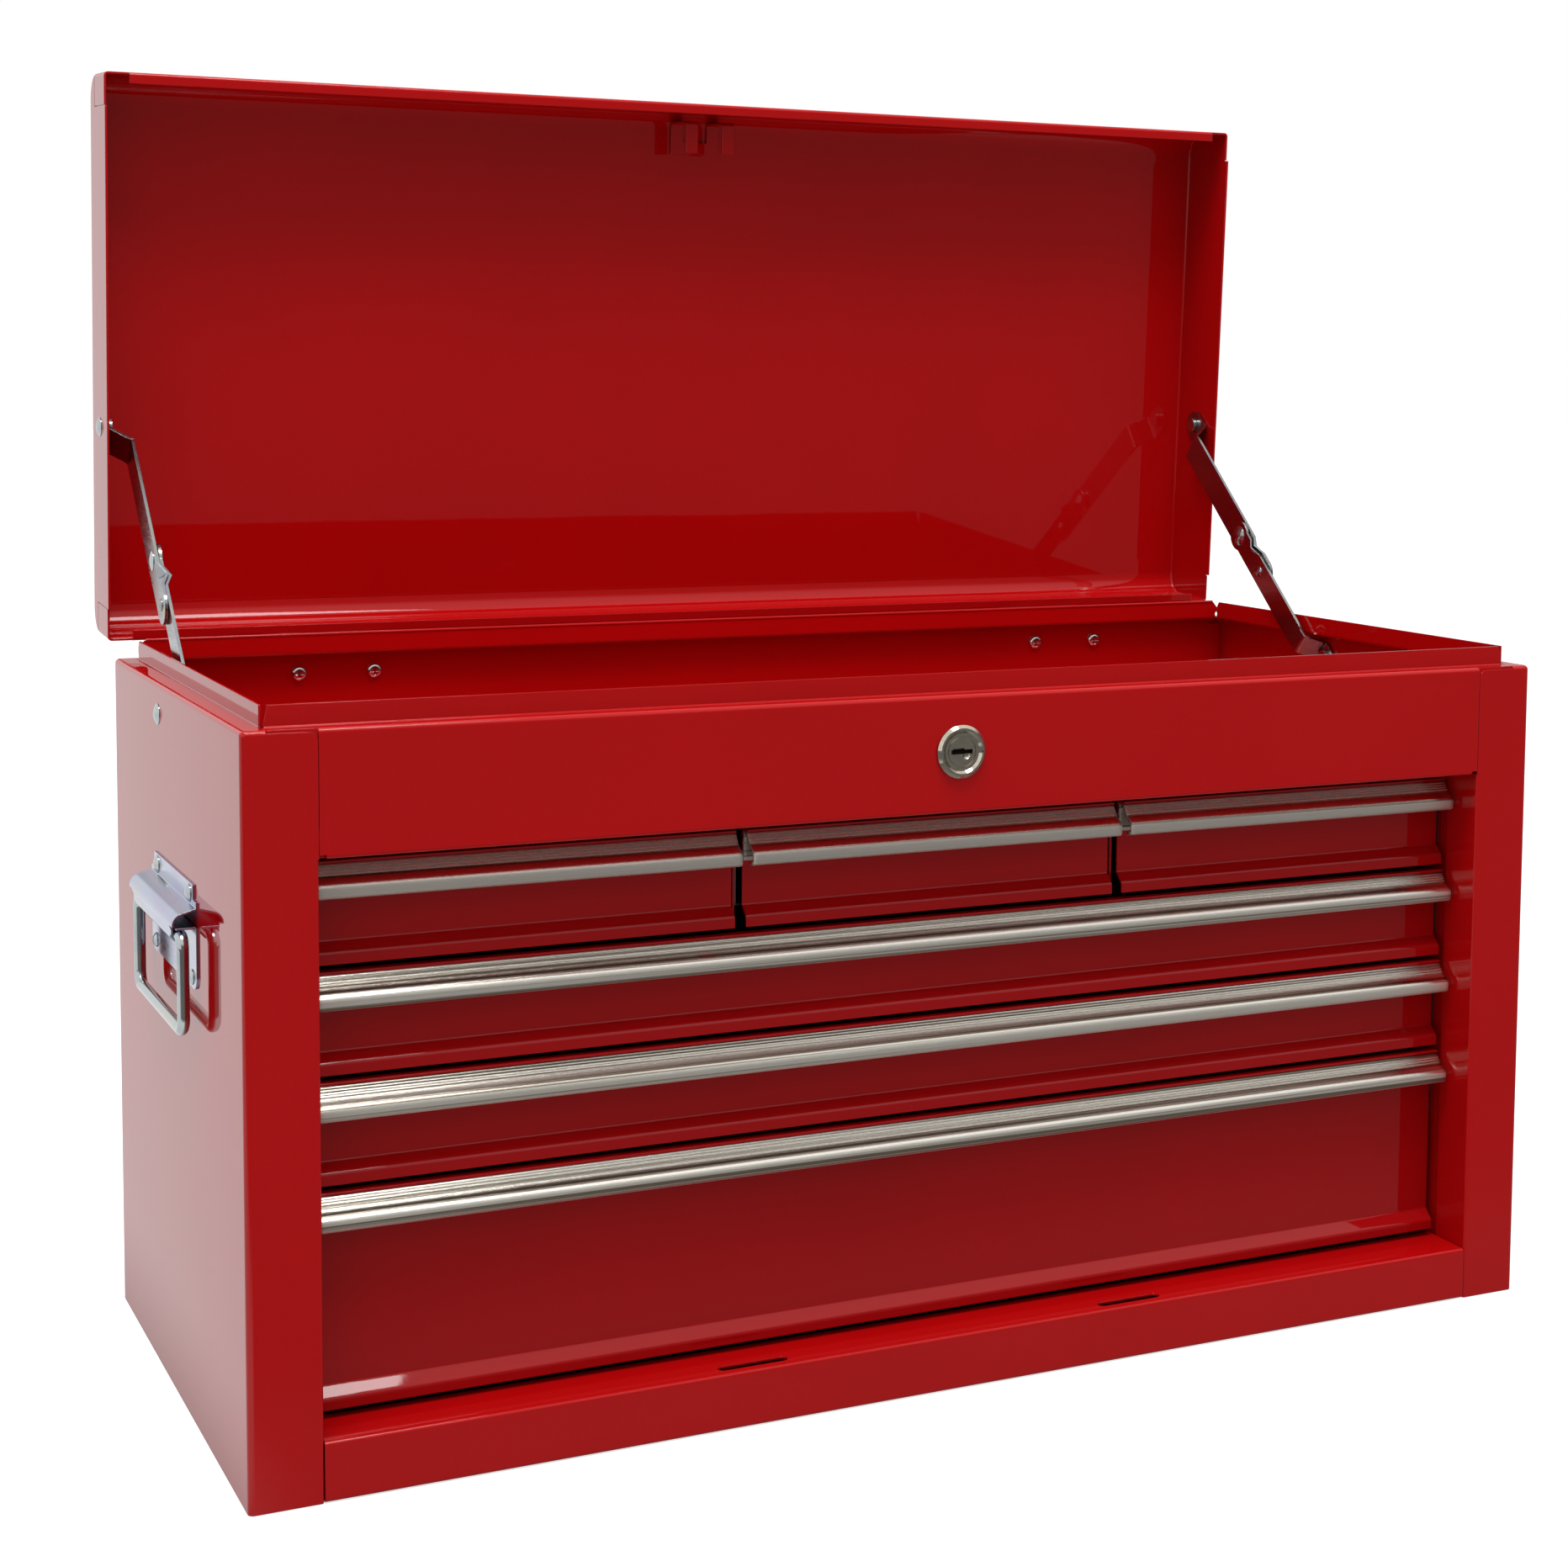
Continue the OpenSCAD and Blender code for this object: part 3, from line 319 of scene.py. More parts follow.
@dataclass(frozen=True)
class BrightExtrusion(Finish):
    """Bright-dipped aluminium extrusion: warm silver with die lines along its length.

    The slope is polished and mirrors what is above it. The upright nose is left satin.
    The die lines are drawn 1.7 mm wide, because the real ones are too fine to show. Their light
    and dark brownish colour is partly painted reflection.
    """

    light: str = "#F4EFE4"
    dark: str = "#8F8574"
    smooth: float = 0.09
    dull: float = 0.2
    satin: float = 0.55
    nose_lean: Pair = (0.45, 0.1)
    edge_mm: float = 3.0
    line_mm: float = 1.7
    line_stretch: Triple = (0.0015, 1, 1)
    die_line_and_reflection_range: Pair = (0.34, 0.5)
    line_high_mm: float = 0.012

    def shade(self, tree: bpy.types.NodeTree, shader: bpy.types.Node) -> None:
        """Draw the die lines as streaks that run along X, their dark brownish colour partly
        painted reflection, and dull the faces that stand upright.

        Args:
            tree: The material's node tree.
            shader: Its Principled node.
        """
        line = add_node(
            tree, "ShaderNodeTexNoise", {"Scale": per(self.line_mm), "Detail": 1.5},
            {"Vector": self.place(tree, self.line_stretch)},
        )
        die_line_and_reflection = add_node(
            tree, "ShaderNodeMapRange", dict(zip(("From Min", "From Max"), self.die_line_and_reflection_range)),
            {"Value": line.outputs[0]}, interpolation_type="SMOOTHSTEP",
        )
        # light and dark streaks: die lines, with painted reflection in their colour
        colour = add_node(
            tree, "ShaderNodeMix", {6: linear(self.dark), 7: linear(self.light)},
            {0: die_line_and_reflection.outputs[0]}, data_type="RGBA",
        )
        gloss = add_node(
            tree, "ShaderNodeMapRange",
            {"From Min": 0.3, "From Max": 0.7, "To Min": self.smooth, "To Max": self.dull},
            {"Value": line.outputs[0]},
        )
        shape = add_node(tree, "ShaderNodeNewGeometry")
        lean = add_node(tree, "ShaderNodeSeparateXYZ", links={0: shape.outputs["True Normal"]})
        nose = add_node(
            tree, "ShaderNodeMapRange", dict(zip(("From Min", "From Max"), self.nose_lean)),
            {"Value": lean.outputs[2]}, interpolation_type="SMOOTHSTEP",
        )
        rough = add_node(
            tree, "ShaderNodeMix", {3: self.satin}, {0: nose.outputs[0], 2: gloss.outputs[0]},
            data_type="FLOAT",
        )
        edge = add_node(tree, "ShaderNodeBevel", {"Radius": self.edge_mm * MM}, samples=6)
        bump = add_node(
            tree, "ShaderNodeBump", {"Strength": 1.0, "Distance": self.line_high_mm * MM},
            {"Height": line.outputs[0], "Normal": edge.outputs[0]},
        )
        feed(
            tree, shader, {"Metallic": 1.0},
            {
                "Base Color": colour.outputs[2], "Roughness": rough.outputs[0],
                "Normal": bump.outputs[0],
            },
        )


@dataclass(frozen=True)
class RubbedMetal(Finish):
    """Bare or plated metal whose colour and gloss change in rubbed or oiled patches."""

    light: str
    dark: str
    smooth: float
    dull: float
    patch_mm: float
    detail: float
    stretch: Triple
    gloss_from: float = 0.3

    def shade(self, tree: bpy.types.NodeTree, shader: bpy.types.Node) -> None:
        """Let one noise drive the colour and the gloss.

        Args:
            tree: The material's node tree.
            shader: Its Principled node.
        """
        patch = add_node(
            tree, "ShaderNodeTexNoise", {"Scale": per(self.patch_mm), "Detail": self.detail},
            {"Vector": self.place(tree, self.stretch)},
        )
        colour = add_node(
            tree, "ShaderNodeMix", {6: linear(self.dark), 7: linear(self.light)},
            {0: patch.outputs[0]}, data_type="RGBA",
        )
        gloss = add_node(
            tree, "ShaderNodeMapRange",
            {
                "From Min": self.gloss_from, "From Max": 0.7,
                "To Min": self.smooth, "To Max": self.dull,
            },
            {"Value": patch.outputs[0]},
        )
        feed(
            tree, shader, {"Metallic": 1.0},
            {"Base Color": colour.outputs[2], "Roughness": gloss.outputs[0]},
        )


# The sheets are sprayed and baked. The drawers are a little deeper in colour, partly their own
# paint and partly painted shade of the fronts recessed under the pulls.
ENAMEL = BakedEnamel("baked_red_enamel")
DRAWER_ENAMEL_SHADED = BakedEnamel("baked_red_drawer_enamel_painted_shade", colour="#A0060A", deep="#940508")
# Zinc plating: bluish and mottled on pressings, greyer on the stay links, bright on drawn wire.
# The screws have the same zinc drawn lighter still, a painted highlight, because they face the
# dark front.
ZINC = PlatedSteel(
    "zinc_plated_pressing", cool="#AAB2C8", warm="#B4B4BC", lilac="#ABA8C4", smooth=0.1, dull=0.2
)
LINK = PlatedSteel(
    "zinc_plated_strap", cool="#9A9E9E", warm="#A39F98", lilac="#92949C", smooth=0.13, dull=0.24
)
WIRE = PlatedSteel(
    "bright_zinc_wire", cool="#B4BCBC", warm="#BDBBB4", lilac="#AAAEB2", smooth=0.06, dull=0.14
)
SCREW_HIGHLIGHTED = PlatedSteel(
    "bright_zinc_screw_painted_highlight", cool="#D6DADA", warm="#DCD9D2", lilac="#CFD2D6", smooth=0.05, dull=0.12
)
# Silver die lines along the pulls, their dark brownish streaks partly painted reflection.
PULL = BrightExtrusion("bright_dipped_extrusion")
# Polished nickel: a warm grey mirror, dulled in small rubbed patches.
NICKEL = RubbedMetal(
    "polished_nickel_plate", light="#D8CFBE", dark="#ADA391", smooth=0.07, dull=0.18,
    patch_mm=3.0, detail=5.0, stretch=(1, 1, 2.5), gloss_from=0.35,
)
# Roll-formed slides: dull zinc under a film of oil that gathers in streaks along the rail.
OILED = RubbedMetal(
    "oiled_slide_steel", light="#8F9294", dark="#5E6062", smooth=0.2, dull=0.42,
    patch_mm=4.0, detail=3.0, stretch=(1, 0.08, 1),
)
# Ward plate painted nearly black, the painted shade inside the key slot, so that the slot reads
# as a hole.
WARD_SHADE = RubbedMetal(
    "ward_steel_painted_shade", light="#2C2824", dark="#14110F", smooth=0.2, dull=0.42,
    patch_mm=4.0, detail=3.0, stretch=(1, 0.08, 1),
)


# ---- hand tools --------------------------------------------------------------------------------


def added(name: str) -> bpy.types.Object:
    """Name the primitive that was just added and settle its place and turn into its mesh.

    Args:
        name: The piece's name.

    Returns:
        The piece, selected alone.
    """
    piece = bpy.context.active_object
    piece.name = piece.data.name = name
    bpy.ops.object.transform_apply(location=True, rotation=True, scale=True)
    return piece


def block(name: str, centre: Triple, size: Triple) -> bpy.types.Object:
    """Add a block.

    Args:
        name: The piece's name.
        centre: Its centre in millimetres.
        size: Its lengths along X, Y and Z in millimetres.

    Returns:
        The block, selected alone.
    """
    bpy.ops.object.select_all(action="DESELECT")
    bpy.ops.mesh.primitive_cube_add(size=MM, location=[c * MM for c in centre], scale=size)
    return added(name)


def rod(name: str, sides: int, radius: float, low: float, high: float) -> bpy.types.Object:
    """Add a rod that lies along the Y axis.

    Args:
        name: The piece's name.
        sides: How many flats go round it.
        radius: Its radius in millimetres.
        low: Its front end along Y in millimetres.
        high: Its rear end along Y in millimetres.

    Returns:
        The rod, selected alone.
    """
    bpy.ops.object.select_all(action="DESELECT")
    bpy.ops.mesh.primitive_cylinder_add(
        vertices=sides, radius=radius * MM, depth=(high - low) * MM,
        location=(0, (low + high) / 2 * MM, 0), rotation=(math.pi / 2, 0, 0),
    )
    return added(name)


def round_edges(
    piece: bpy.types.Object, test: Callable[[Any], bool], radius: float, segments: int
) -> None:
    """Round the edges that a test picks by their place.

    Args:
        piece: The active piece.
        test: Says which edges.
        radius: Width of the round in millimetres.
        segments: How many faces make up the round.
    """
    bpy.ops.object.mode_set(mode="EDIT")
    bpy.ops.mesh.select_mode(type="EDGE")
    bpy.ops.mesh.select_all(action="DESELECT")
    skin = bmesh.from_edit_mesh(piece.data)
    for edge in skin.edges:
        if test(edge):
            edge.select_set(True)
    bmesh.update_edit_mesh(piece.data)
    bpy.ops.mesh.bevel(offset=radius * MM, segments=segments, profile=0.5, affect="EDGES")
    bpy.ops.object.mode_set(mode="OBJECT")


def only(*pieces: bpy.types.Object) -> None:
    """Select some pieces alone and make the first active.

    Args:
        *pieces: The pieces.
    """
    bpy.ops.object.select_all(action="DESELECT")
    for piece in pieces:
        piece.select_set(True)
    bpy.context.view_layer.objects.active = pieces[0]


def carve(piece: bpy.types.Object, cutter: bpy.types.Object) -> None:
    """Cut one piece out of another and throw the cutter away.

    Args:
        piece: What is cut.
        cutter: The shape that comes out.
    """
    only(piece)
    cut = piece.modifiers.new("cut", "BOOLEAN")
    cut.operation = "DIFFERENCE"
    cut.solver = "EXACT"
    cut.object = cutter
    bpy.ops.object.modifier_apply(modifier=cut.name)
    bpy.data.objects.remove(cutter, do_unlink=True)


def twin(node: str, name: str) -> bpy.types.Object:
    """Copy a CAD node and weld the copy's loose triangles into one skin.

    Args:
        node: The node's name.
        name: The copy's name.

    Returns:
        The copy, selected alone.
    """
    piece = bpy.data.objects.new(name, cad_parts[node].data.copy())
    piece.data.name = name
    bpy.context.scene.collection.objects.link(piece)
    only(piece)
    bpy.ops.object.mode_set(mode="EDIT")
    bpy.ops.mesh.select_all(action="SELECT")
    bpy.ops.mesh.remove_doubles(threshold=WELD)
    bpy.ops.object.mode_set(mode="OBJECT")
    bpy.ops.mesh.customdata_custom_splitnormals_clear()
    return piece


def fit(piece: bpy.types.Object, finish: Finish, body: str, slot: str, *nodes: str) -> str:
    """Finish a piece: smooth its rounds, give it its material and let it ride on its body.

    Args:
        piece: The piece, modelled in place.
        finish: Its finish.
        body: The CAD body that carries it.
        slot: The record's material slot. Not used.
        *nodes: CAD nodes that it stands for.

    Returns:
        The piece's name.
    """
    only(piece)
    bpy.ops.object.shade_smooth_by_angle(angle=SMOOTH)
    piece.data.materials.clear()
    piece.data.materials.append(finish.material())
    if nodes:
        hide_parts(*nodes)
    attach(piece, body)
    return piece.name


def dress(nodes: Iterable[str], finish: Finish) -> list[str]:
    """Give CAD nodes a finish.

    Args:
        nodes: Names of the nodes.
        finish: Their finish.

    Returns:
        Names of the nodes.
    """
    for name in nodes:
        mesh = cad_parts[name].data
        mesh.materials.clear()
        mesh.materials.append(finish.material())
    return list(nodes)


# ---- sub-assemblies ----------------------------------------------------------------------------


class SubAssembly(ABC):
    """A part of the scene that builds and dresses its own pieces."""

    @abstractmethod
    def build(self) -> list[str]:
        """Build and dress the pieces.

        Returns:
            Names of the pieces.
        """


@dataclass
class Cabinet(SubAssembly):
    """The standing sheet-metal body with its rails, hinges and handle plates."""

    sheets: tuple[str, ...] = (
        "left_side_panel", "right_side_panel", "rear_panel", "lock_rail", "base_pan",
        "till_floor", "slide_carriers",
    )
    slides: tuple[str, ...] = ("cabinet_slide_rails",)
    pressings: tuple[str, ...] = (
        "cabinet_hinge_leaves", "hinge_pins", "handle_plates", "lock_nut",
    )
    rivets: tuple[str, ...] = ("handle_rivets", "stay_cabinet_rivets")

    def build(self) -> list[str]:
        """Dress the cabinet's nodes.

        Returns:
            Names of the pieces.
        """
        return (
            dress(self.sheets, ENAMEL) + dress(self.slides, OILED)
            + dress(self.pressings, ZINC) + dress(self.rivets, WIRE)
        )


@dataclass
class HingeScrews(SubAssembly):
    """Four pan-head screws through the rear panel, each with a cross recess and a hex nut."""

    across: tuple[float, ...] = (-216.0, -180.0, 180.0, 216.0)
    head_y: float = 130.0
    height_z: float = 289.6
    head_d: float = 7.0
    head_high: float = 2.2
    head_round: float = 1.5
    recess: Triple = (4.3, 1.5, 0.95)
    nut_r: float = 3.9
    nut_y: Pair = (2.6, 5.0)
    nut_round: float = 0.35
    shank_d: float = 4.0
    end_y: float = 7.0
    end_round: float = 0.5

    def head(self) -> bpy.types.Object:
        """Model the pan head with its cross recess.

        Returns:
            The head, with its flat side at Y 0.
        """
        head = rod("hinge_screw", 40, self.head_d / 2, -self.head_high, 0)
        front = -self.head_high * MM + NEAR
        round_edges(head, lambda e: all(v.co.y < front for v in e.verts), self.head_round, 6)
        long, deep, wide = self.recess
        for size in ((long, deep, wide), (wide, deep, long)):
            carve(head, block("recess", (0, -self.head_high, 0), size))
        return head

    def screw(self) -> bpy.types.Object:
        """Model one screw and nut about the origin, its head towards -Y.

        Returns:
            The screw, as one object.
        """
        head = self.head()
        nut = rod("nut", 6, self.nut_r, *self.nut_y)
        round_edges(
            nut, lambda e: abs(e.verts[0].co.y - e.verts[1].co.y) < NEAR, self.nut_round, 2
        )
        shank = rod("shank", 24, self.shank_d / 2, 0, self.end_y)
        end = self.end_y * MM - NEAR
        round_edges(shank, lambda e: all(v.co.y > end for v in e.verts), self.end_round, 2)
        only(head, nut, shank)
        bpy.ops.object.join()
        return head

    def build(self) -> list[str]:
        """Copy the screw to its four places as one set.

        Returns:
            Names of the pieces.
        """
        first = self.screw()
        made = [first]
        for _ in self.across[1:]:
            made.append(bpy.data.objects.new("hinge_screw", first.data.copy()))
            bpy.context.scene.collection.objects.link(made[-1])
        for piece, across in zip(made, self.across):
            piece.location = (across * MM, self.head_y * MM, self.height_z * MM)
        only(*made)
        bpy.ops.object.transform_apply(location=True, rotation=True, scale=True)
        bpy.ops.object.join()
        first.name = first.data.name = "hinge_screw_set"
        # the screws' lighter zinc is a painted highlight
        return [fit(first, SCREW_HIGHLIGHTED, "cabinet", "rivet_steel", "hinge_screws")]


@dataclass
class RearRimBead(SubAssembly):
    """The rolled safety edge on the rear rim, which closes the sight line under the open lid."""

    half_long: float = 287.5
    y: float = 123.0
    z: float = 308.7
    wide: float = 1.7
    high: float = 1.5
    edge_r: float = 0.7

    def build(self) -> list[str]:
        """Round a long bar into a bead and fit it on the rim.

        Returns:
            Names of the pieces.
        """
        size = (2 * self.half_long, self.wide, self.high)
        bead = block("rear_rim_bead", (0, self.y, self.z), size)
        long = self.half_long * MM
        round_edges(
            bead, lambda e: abs(e.verts[0].co.x - e.verts[1].co.x) > long, self.edge_r, 4
        )
        return [fit(bead, ENAMEL, "cabinet", "red_paint")]


@dataclass
class Lid(SubAssembly):
    """The lift-up lid with its striker, hinge leaves and stay rivets."""

    sheets: tuple[str, ...] = ("lid_shell", "lid_striker")
    leaves: tuple[str, ...] = ("lid_hinge_leaves",)
    rivets: tuple[str, ...] = ("stay_lid_rivets",)

    def build(self) -> list[str]:
        """Dress the lid's nodes.

        Returns:
            Names of the pieces.
        """
        return dress(self.sheets, ENAMEL) + dress(self.leaves, ZINC) + dress(self.rivets, WIRE)


@dataclass
class FoldingStay(SubAssembly):
    """Two links and the knee rivet on one side."""

    side: Side

    def build(self) -> list[str]:
        """Dress the stay's nodes.

        Returns:
            Names of the pieces.
        """
        word = self.side.value
        links = dress((f"{word}_upper_link", f"{word}_lower_link"), LINK)
        return links + dress((f"{word}_knee_rivet",), WIRE)


@dataclass
class SideHandle(SubAssembly):
    """The bail on one side."""

    side: Side

    def build(self) -> list[str]:
        """Dress the bail and return its name."""
        return dress((f"{self.side.value}_bail",), WIRE)


@dataclass
class CamLock(SubAssembly):
    """The lock: barrel with its bezel, turning plug, ward plate and cam."""

    z: float = 276.0
    face_y: float = -133.2
    bezel_y: float = -134.2
    dish_r: float = 2.0
    dish_at: Triple = (2.2, -0.9, -1.7)
    mouth_at: Triple = (-1.6, 0.0, 0.5)
    mouth: Triple = (5.4, 5.0, 2.3)
    tick_x: Pair = (8.3, 9.8)
    tick_deep: float = 1.6
    tick_high: float = 0.9
    ward: Triple = (9.4, 0.8, 1.7)
    ward_deep: float = 1.6
    ward_round: float = 0.25

    def plug(self) -> str:
        """Dish the plug's face and widen the key slot's mouth, where the key is led in.

        Returns:
            The piece's name.
        """
        plug = twin("lock_plug", "lock_plug_face")
        x, y, z = self.dish_at
        bpy.ops.object.select_all(action="DESELECT")
        bpy.ops.mesh.primitive_uv_sphere_add(
            segments=40, ring_count=20, radius=self.dish_r * MM,
            location=(x * MM, (self.face_y + y) * MM, (self.z + z) * MM),
        )
        carve(plug, added("dish"))
        x, y, z = self.mouth_at
        carve(plug, block("slot_mouth", (x, self.face_y + y, self.z + z), self.mouth))
        return fit(plug, NICKEL, "lock", "lock_chrome", "lock_plug")

    def wards(self) -> str:
        """Set the ward plate, painted nearly black as the slot's shade, into the key slot, its
        long edges eased.

        Returns:
            The piece's name.
        """
        plate = block("lock_wards", (0, self.face_y + self.ward_deep, self.z), self.ward)
        round_edges(
            plate, lambda e: abs(e.verts[0].co.x - e.verts[1].co.x) > MM, self.ward_round, 2
        )
        return fit(plate, WARD_SHADE, "lock", "dark_zinc")

    def barrel(self) -> str:
        """Cut the two tick notches at the sides of the bezel.

        Returns:
            The piece's name.
        """
        barrel = twin("lock_barrel", "lock_barrel_bezel")
        low, high = self.tick_x
        for sign in (-1, 1):
            centre = (sign * (low + high) / 2, self.bezel_y, self.z)
            carve(barrel, block("tick", centre, (high - low, self.tick_deep, self.tick_high)))
        return fit(barrel, NICKEL, "cabinet", "lock_chrome", "lock_barrel")

    def build(self) -> list[str]:
        """Model the plug's face, the wards and the bezel, and dress the cam.

        Returns:
            Names of the pieces.
        """
        return [self.plug(), self.wards(), self.barrel()] + dress(("lock_cam",), ZINC)


@dataclass
class Drawer(SubAssembly):
    """One drawer: tray, front, pull, inner rails and ball retainers."""

    place: Place

    def build(self) -> list[str]:
        """Dress the drawer's nodes.

        Returns:
            Names of the pieces.
        """
        word = self.place.value
        return (
            # trays and fronts take the deeper red, which is partly painted shade
            dress((f"{word}_tray", f"{word}_front"), DRAWER_ENAMEL_SHADED)
            + dress((f"{word}_pull",), PULL)
            + dress((f"{word}_rails", f"{word}_cages"), OILED)
        )


# ---- studio ------------------------------------------------------------------------------------


@dataclass
class Studio(SubAssembly):
    """Pale floor, soft light and the camera at the photograph's viewpoint.

    The camera was solved from the box's straight edges. Its lengths are millimetres and its
    picture values are pixels of the whole frame. The strengths are what a mirrored or matt ray
    finds, where 1 is white. Each pair of steps is where one strength gives way to the next: for
    the world by the ray's direction, and for the floor by the place in metres. The lamp's
    lengths are metres.
    """

    frame_px: tuple[int, int] = (1864, 1856)
    eye: Triple = (-511.15, -1116.12, 438.46)
    yaw: float = 26.2584
    pitch: float = -4.8643
    roll: float = 0.5696
    focal_px: float = 3168.22
    centre_px: Pair = (1078.87, 700.67)
    sensor: float = 36.0
    see_far_m: float = 100.0
    front_dark: float = 0.2
    floor_near: float = 0.3
    window_left: float = 1.1
    rear_left: float = 1.0
    rear_right: float = 0.5
    matt_low: float = 0.2
    matt_high: float = 1.1
    floor_lift: float = 0.7
    sky_left: Pair = (0.1, -0.12)
    sky_rear: Pair = (-0.2, 0.45)
    sky_over: Pair = (0.2, 0.6)
    sky_window: Pair = (-0.5, -0.72)
    sky_height: Pair = (0.0, 0.85)
    floor_left: Pair = (-0.27, -0.33)
    floor_close: Pair = (-0.32, -0.16)
    floor_rear: Pair = (-0.1, 0.3)
    floor_front: Pair = (-0.5, -0.25)
    floor_size_m: float = 30.0
    floor_z_m: float = -0.0004
    floor_colour: str = "#BEBEBE"
    lamp_at_m: Triple = (-0.3, -0.68, 2.45)
    lamp_aim_m: Triple = (0.0, 0.0, 0.25)
    lamp_size_m: Pair = (1.6, 0.7)
    lamp_watts: float = 45.0

    def camera(self) -> None:
        """Make the scene's camera."""
        data = bpy.data.cameras.new("camera")
        data.sensor_fit = "HORIZONTAL"
        data.sensor_width = self.sensor
        wide, high = self.frame_px
        data.lens = data.sensor_width * self.focal_px / wide
        data.shift_x = (wide / 2 - self.centre_px[0]) / wide
        data.shift_y = (self.centre_px[1] - high / 2) / wide
        yaw, pitch, roll = (math.radians(a) for a in (self.yaw, self.pitch, self.roll))
        ahead = Vector((
            math.sin(yaw) * math.cos(pitch), math.cos(yaw) * math.cos(pitch), math.sin(pitch)
        ))
        level = Vector((math.cos(yaw), -math.sin(yaw), 0))
        upright = level.cross(ahead)
        right = level * math.cos(roll) + upright * math.sin(roll)
        up = upright * math.cos(roll) - level * math.sin(roll)
        turn = Matrix((right, up, -ahead)).transposed().to_4x4()
        made = bpy.data.objects.new("camera", data)
        bpy.context.scene.collection.objects.link(made)
        made.matrix_world = Matrix.Translation(Vector(self.eye) * MM) @ turn
        data.clip_end = self.see_far_m
        bpy.context.scene.camera = made

    def lamp(self) -> None:
        """Hang the one white soft box, high in front."""
        data = bpy.data.lights.new("high_front", "AREA")
        data.shape = "RECTANGLE"
        data.size, data.size_y = self.lamp_size_m
        data.energy = self.lamp_watts
        lamp = bpy.data.objects.new("high_front", data)
        bpy.context.scene.collection.objects.link(lamp)
        lamp.location = self.lamp_at_m
        beam = Vector(self.lamp_aim_m) - Vector(self.lamp_at_m)
        lamp.rotation_euler = beam.to_track_quat("-Z", "Y").to_euler()

    def world(self) -> None:
        """White for the camera. For gloss the room is dark in front, white behind to the left,
        grey behind to the right and white overhead. The matt light comes mostly from above."""
        world = bpy.data.worlds.new("world")
        bpy.context.scene.world = world
        world.use_nodes = True
        tree = world.node_tree
        tree.nodes.clear()
        coords = add_node(tree, "ShaderNodeTexCoord")
        axes = add_node(tree, "ShaderNodeSeparateXYZ", links={0: coords.outputs["Generated"]})
        across, along, height = axes.outputs[:3]
        left, back, over, window, up = (
            add_node(
                tree, "ShaderNodeMapRange", {"From Min": low, "From Max": high},
                {"Value": source}, interpolation_type="SMOOTHSTEP",
            ).outputs[0]
            for source, (low, high) in (
                (across, self.sky_left), (along, self.sky_rear), (height, self.sky_over),
                (across, self.sky_window), (height, self.sky_height),
            )
        )
        rear = add_node(
            tree, "ShaderNodeMix", {2: self.rear_right, 3: self.rear_left}, {0: left},
            data_type="FLOAT",
        )
        room = add_node(
            tree, "ShaderNodeMix", {2: self.front_dark}, {0: back, 3: rear.outputs[0]},
            data_type="FLOAT",
        )
        side = add_node(
            tree, "ShaderNodeMix", {3: self.window_left}, {0: window, 2: room.outputs[0]},
            data_type="FLOAT",
        )
        mirror = add_node(
            tree, "ShaderNodeMath", links={0: side.outputs[0], 1: over}, operation="MAXIMUM"
        )
        matt = add_node(
            tree, "ShaderNodeMix", {2: self.matt_low, 3: self.matt_high}, {0: up},
            data_type="FLOAT",
        )
        path = add_node(tree, "ShaderNodeLightPath")
        lit = add_node(
            tree, "ShaderNodeMix",
            links={0: path.outputs["Is Glossy Ray"], 2: matt.outputs[0], 3: mirror.outputs[0]},
            data_type="FLOAT",
        )
        seen = add_node(
            tree, "ShaderNodeMix", {3: 1.0},
            {0: path.outputs["Is Camera Ray"], 2: lit.outputs[0]}, data_type="FLOAT",
        )
        sky = add_node(
            tree, "ShaderNodeBackground", {"Color": (1, 1, 1, 1)}, {"Strength": seen.outputs[0]}
        )
        add_node(tree, "ShaderNodeOutputWorld", links={0: sky.outputs[0]})

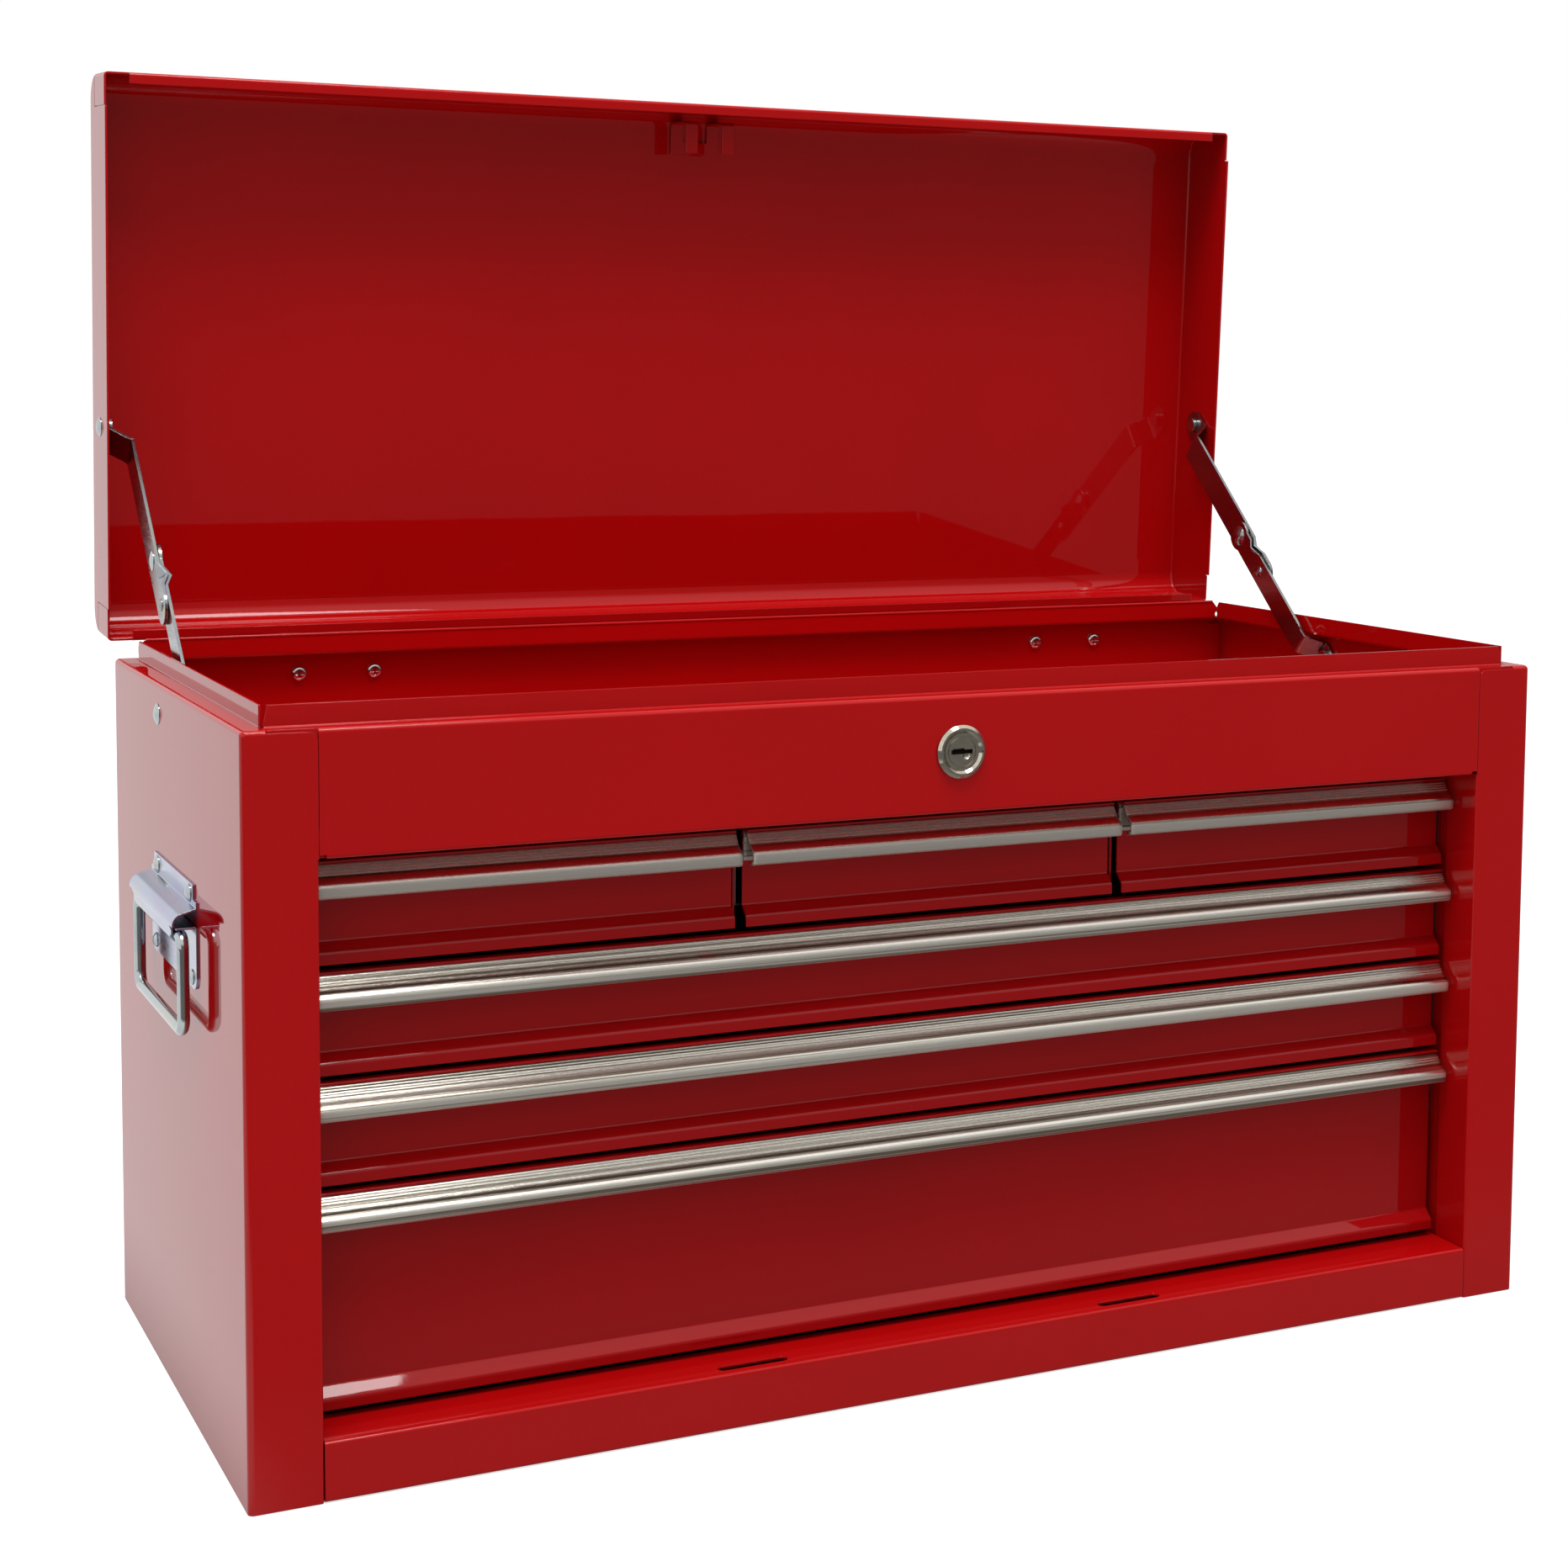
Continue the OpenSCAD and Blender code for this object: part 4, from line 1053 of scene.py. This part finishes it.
    def floor_material(self) -> bpy.types.Material:
        """Make the floor white to the camera, matt under the box's shadow, and for mirrored rays
        the room's own strengths carried on.

        Returns:
            The floor's material.
        """
        made = bpy.data.materials.new("pale_floor")
        made.use_nodes = True
        tree = made.node_tree
        tree.nodes.clear()
        coords = add_node(tree, "ShaderNodeTexCoord")
        axes = add_node(tree, "ShaderNodeSeparateXYZ", links={0: coords.outputs["Object"]})
        across, along = axes.outputs[:2]
        left, close, back, front = (
            add_node(
                tree, "ShaderNodeMapRange", {"From Min": low, "From Max": high},
                {"Value": source}, interpolation_type="SMOOTHSTEP",
            ).outputs[0]
            for source, (low, high) in (
                (across, self.floor_left), (along, self.floor_close), (along, self.floor_rear),
                (along, self.floor_front),
            )
        )
        rear = add_node(
            tree, "ShaderNodeMix", {2: self.rear_right, 3: self.rear_left}, {0: left},
            data_type="FLOAT",
        )
        near = add_node(
            tree, "ShaderNodeMix", {2: self.front_dark, 3: self.floor_near}, {0: close},
            data_type="FLOAT",
        )
        beside = add_node(
            tree, "ShaderNodeMix", {3: self.rear_left}, {0: left, 2: near.outputs[0]},
            data_type="FLOAT",
        )
        room = add_node(
            tree, "ShaderNodeMix", links={0: back, 2: beside.outputs[0], 3: rear.outputs[0]},
            data_type="FLOAT",
        )
        mirror = add_node(
            tree, "ShaderNodeMix", {2: self.front_dark}, {0: front, 3: room.outputs[0]},
            data_type="FLOAT",
        )
        matt = add_node(tree, "ShaderNodeBsdfDiffuse", {"Color": linear(self.floor_colour)})
        path = add_node(tree, "ShaderNodeLightPath")
        lift = add_node(
            tree, "ShaderNodeMix", {2: 0.0, 3: self.floor_lift},
            {0: path.outputs["Is Camera Ray"]}, data_type="FLOAT",
        )
        glow, wall = (
            add_node(
                tree, "ShaderNodeEmission", {"Color": (1, 1, 1, 1)},
                {"Strength": strength.outputs[0]},
            ).outputs[0]
            for strength in (lift, mirror)
        )
        both = add_node(tree, "ShaderNodeAddShader", links={0: matt.outputs[0], 1: glow})
        shown = add_node(
            tree, "ShaderNodeMixShader",
            links={0: path.outputs["Is Glossy Ray"], 1: both.outputs[0], 2: wall},
        )
        add_node(tree, "ShaderNodeOutputMaterial", links={0: shown.outputs[0]})
        return made

    def floor(self) -> None:
        """Lay the pale floor a hair below the box."""
        bpy.ops.object.select_all(action="DESELECT")
        bpy.ops.mesh.primitive_plane_add(size=self.floor_size_m, location=(0, 0, self.floor_z_m))
        floor = bpy.context.active_object
        floor.name = "pale_floor"
        floor.data.materials.append(self.floor_material())

    def build(self) -> list[str]:
        """Set the view and light the box.

        Returns:
            Names of what stands in the studio.
        """
        bpy.context.scene.view_settings.view_transform = "Standard"
        self.camera()
        self.world()
        self.floor()
        self.lamp()
        return ["camera", "world", "pale_floor", "high_front"]


def main() -> None:
    """Build every sub-assembly in order and report its pieces."""
    logging.basicConfig(level=logging.INFO, format="%(message)s")
    parts: list[SubAssembly] = [Cabinet(), HingeScrews(), RearRimBead(), Lid()]
    for side in Side:
        parts += [FoldingStay(side), SideHandle(side)]
    parts.append(CamLock())
    parts += [Drawer(place) for place in Place]
    parts.append(Studio())
    for part in parts:
        for piece in part.build():
            LOG.info("%s: %s is ready", type(part).__name__, piece)


if __name__ == "__main__":
    main()
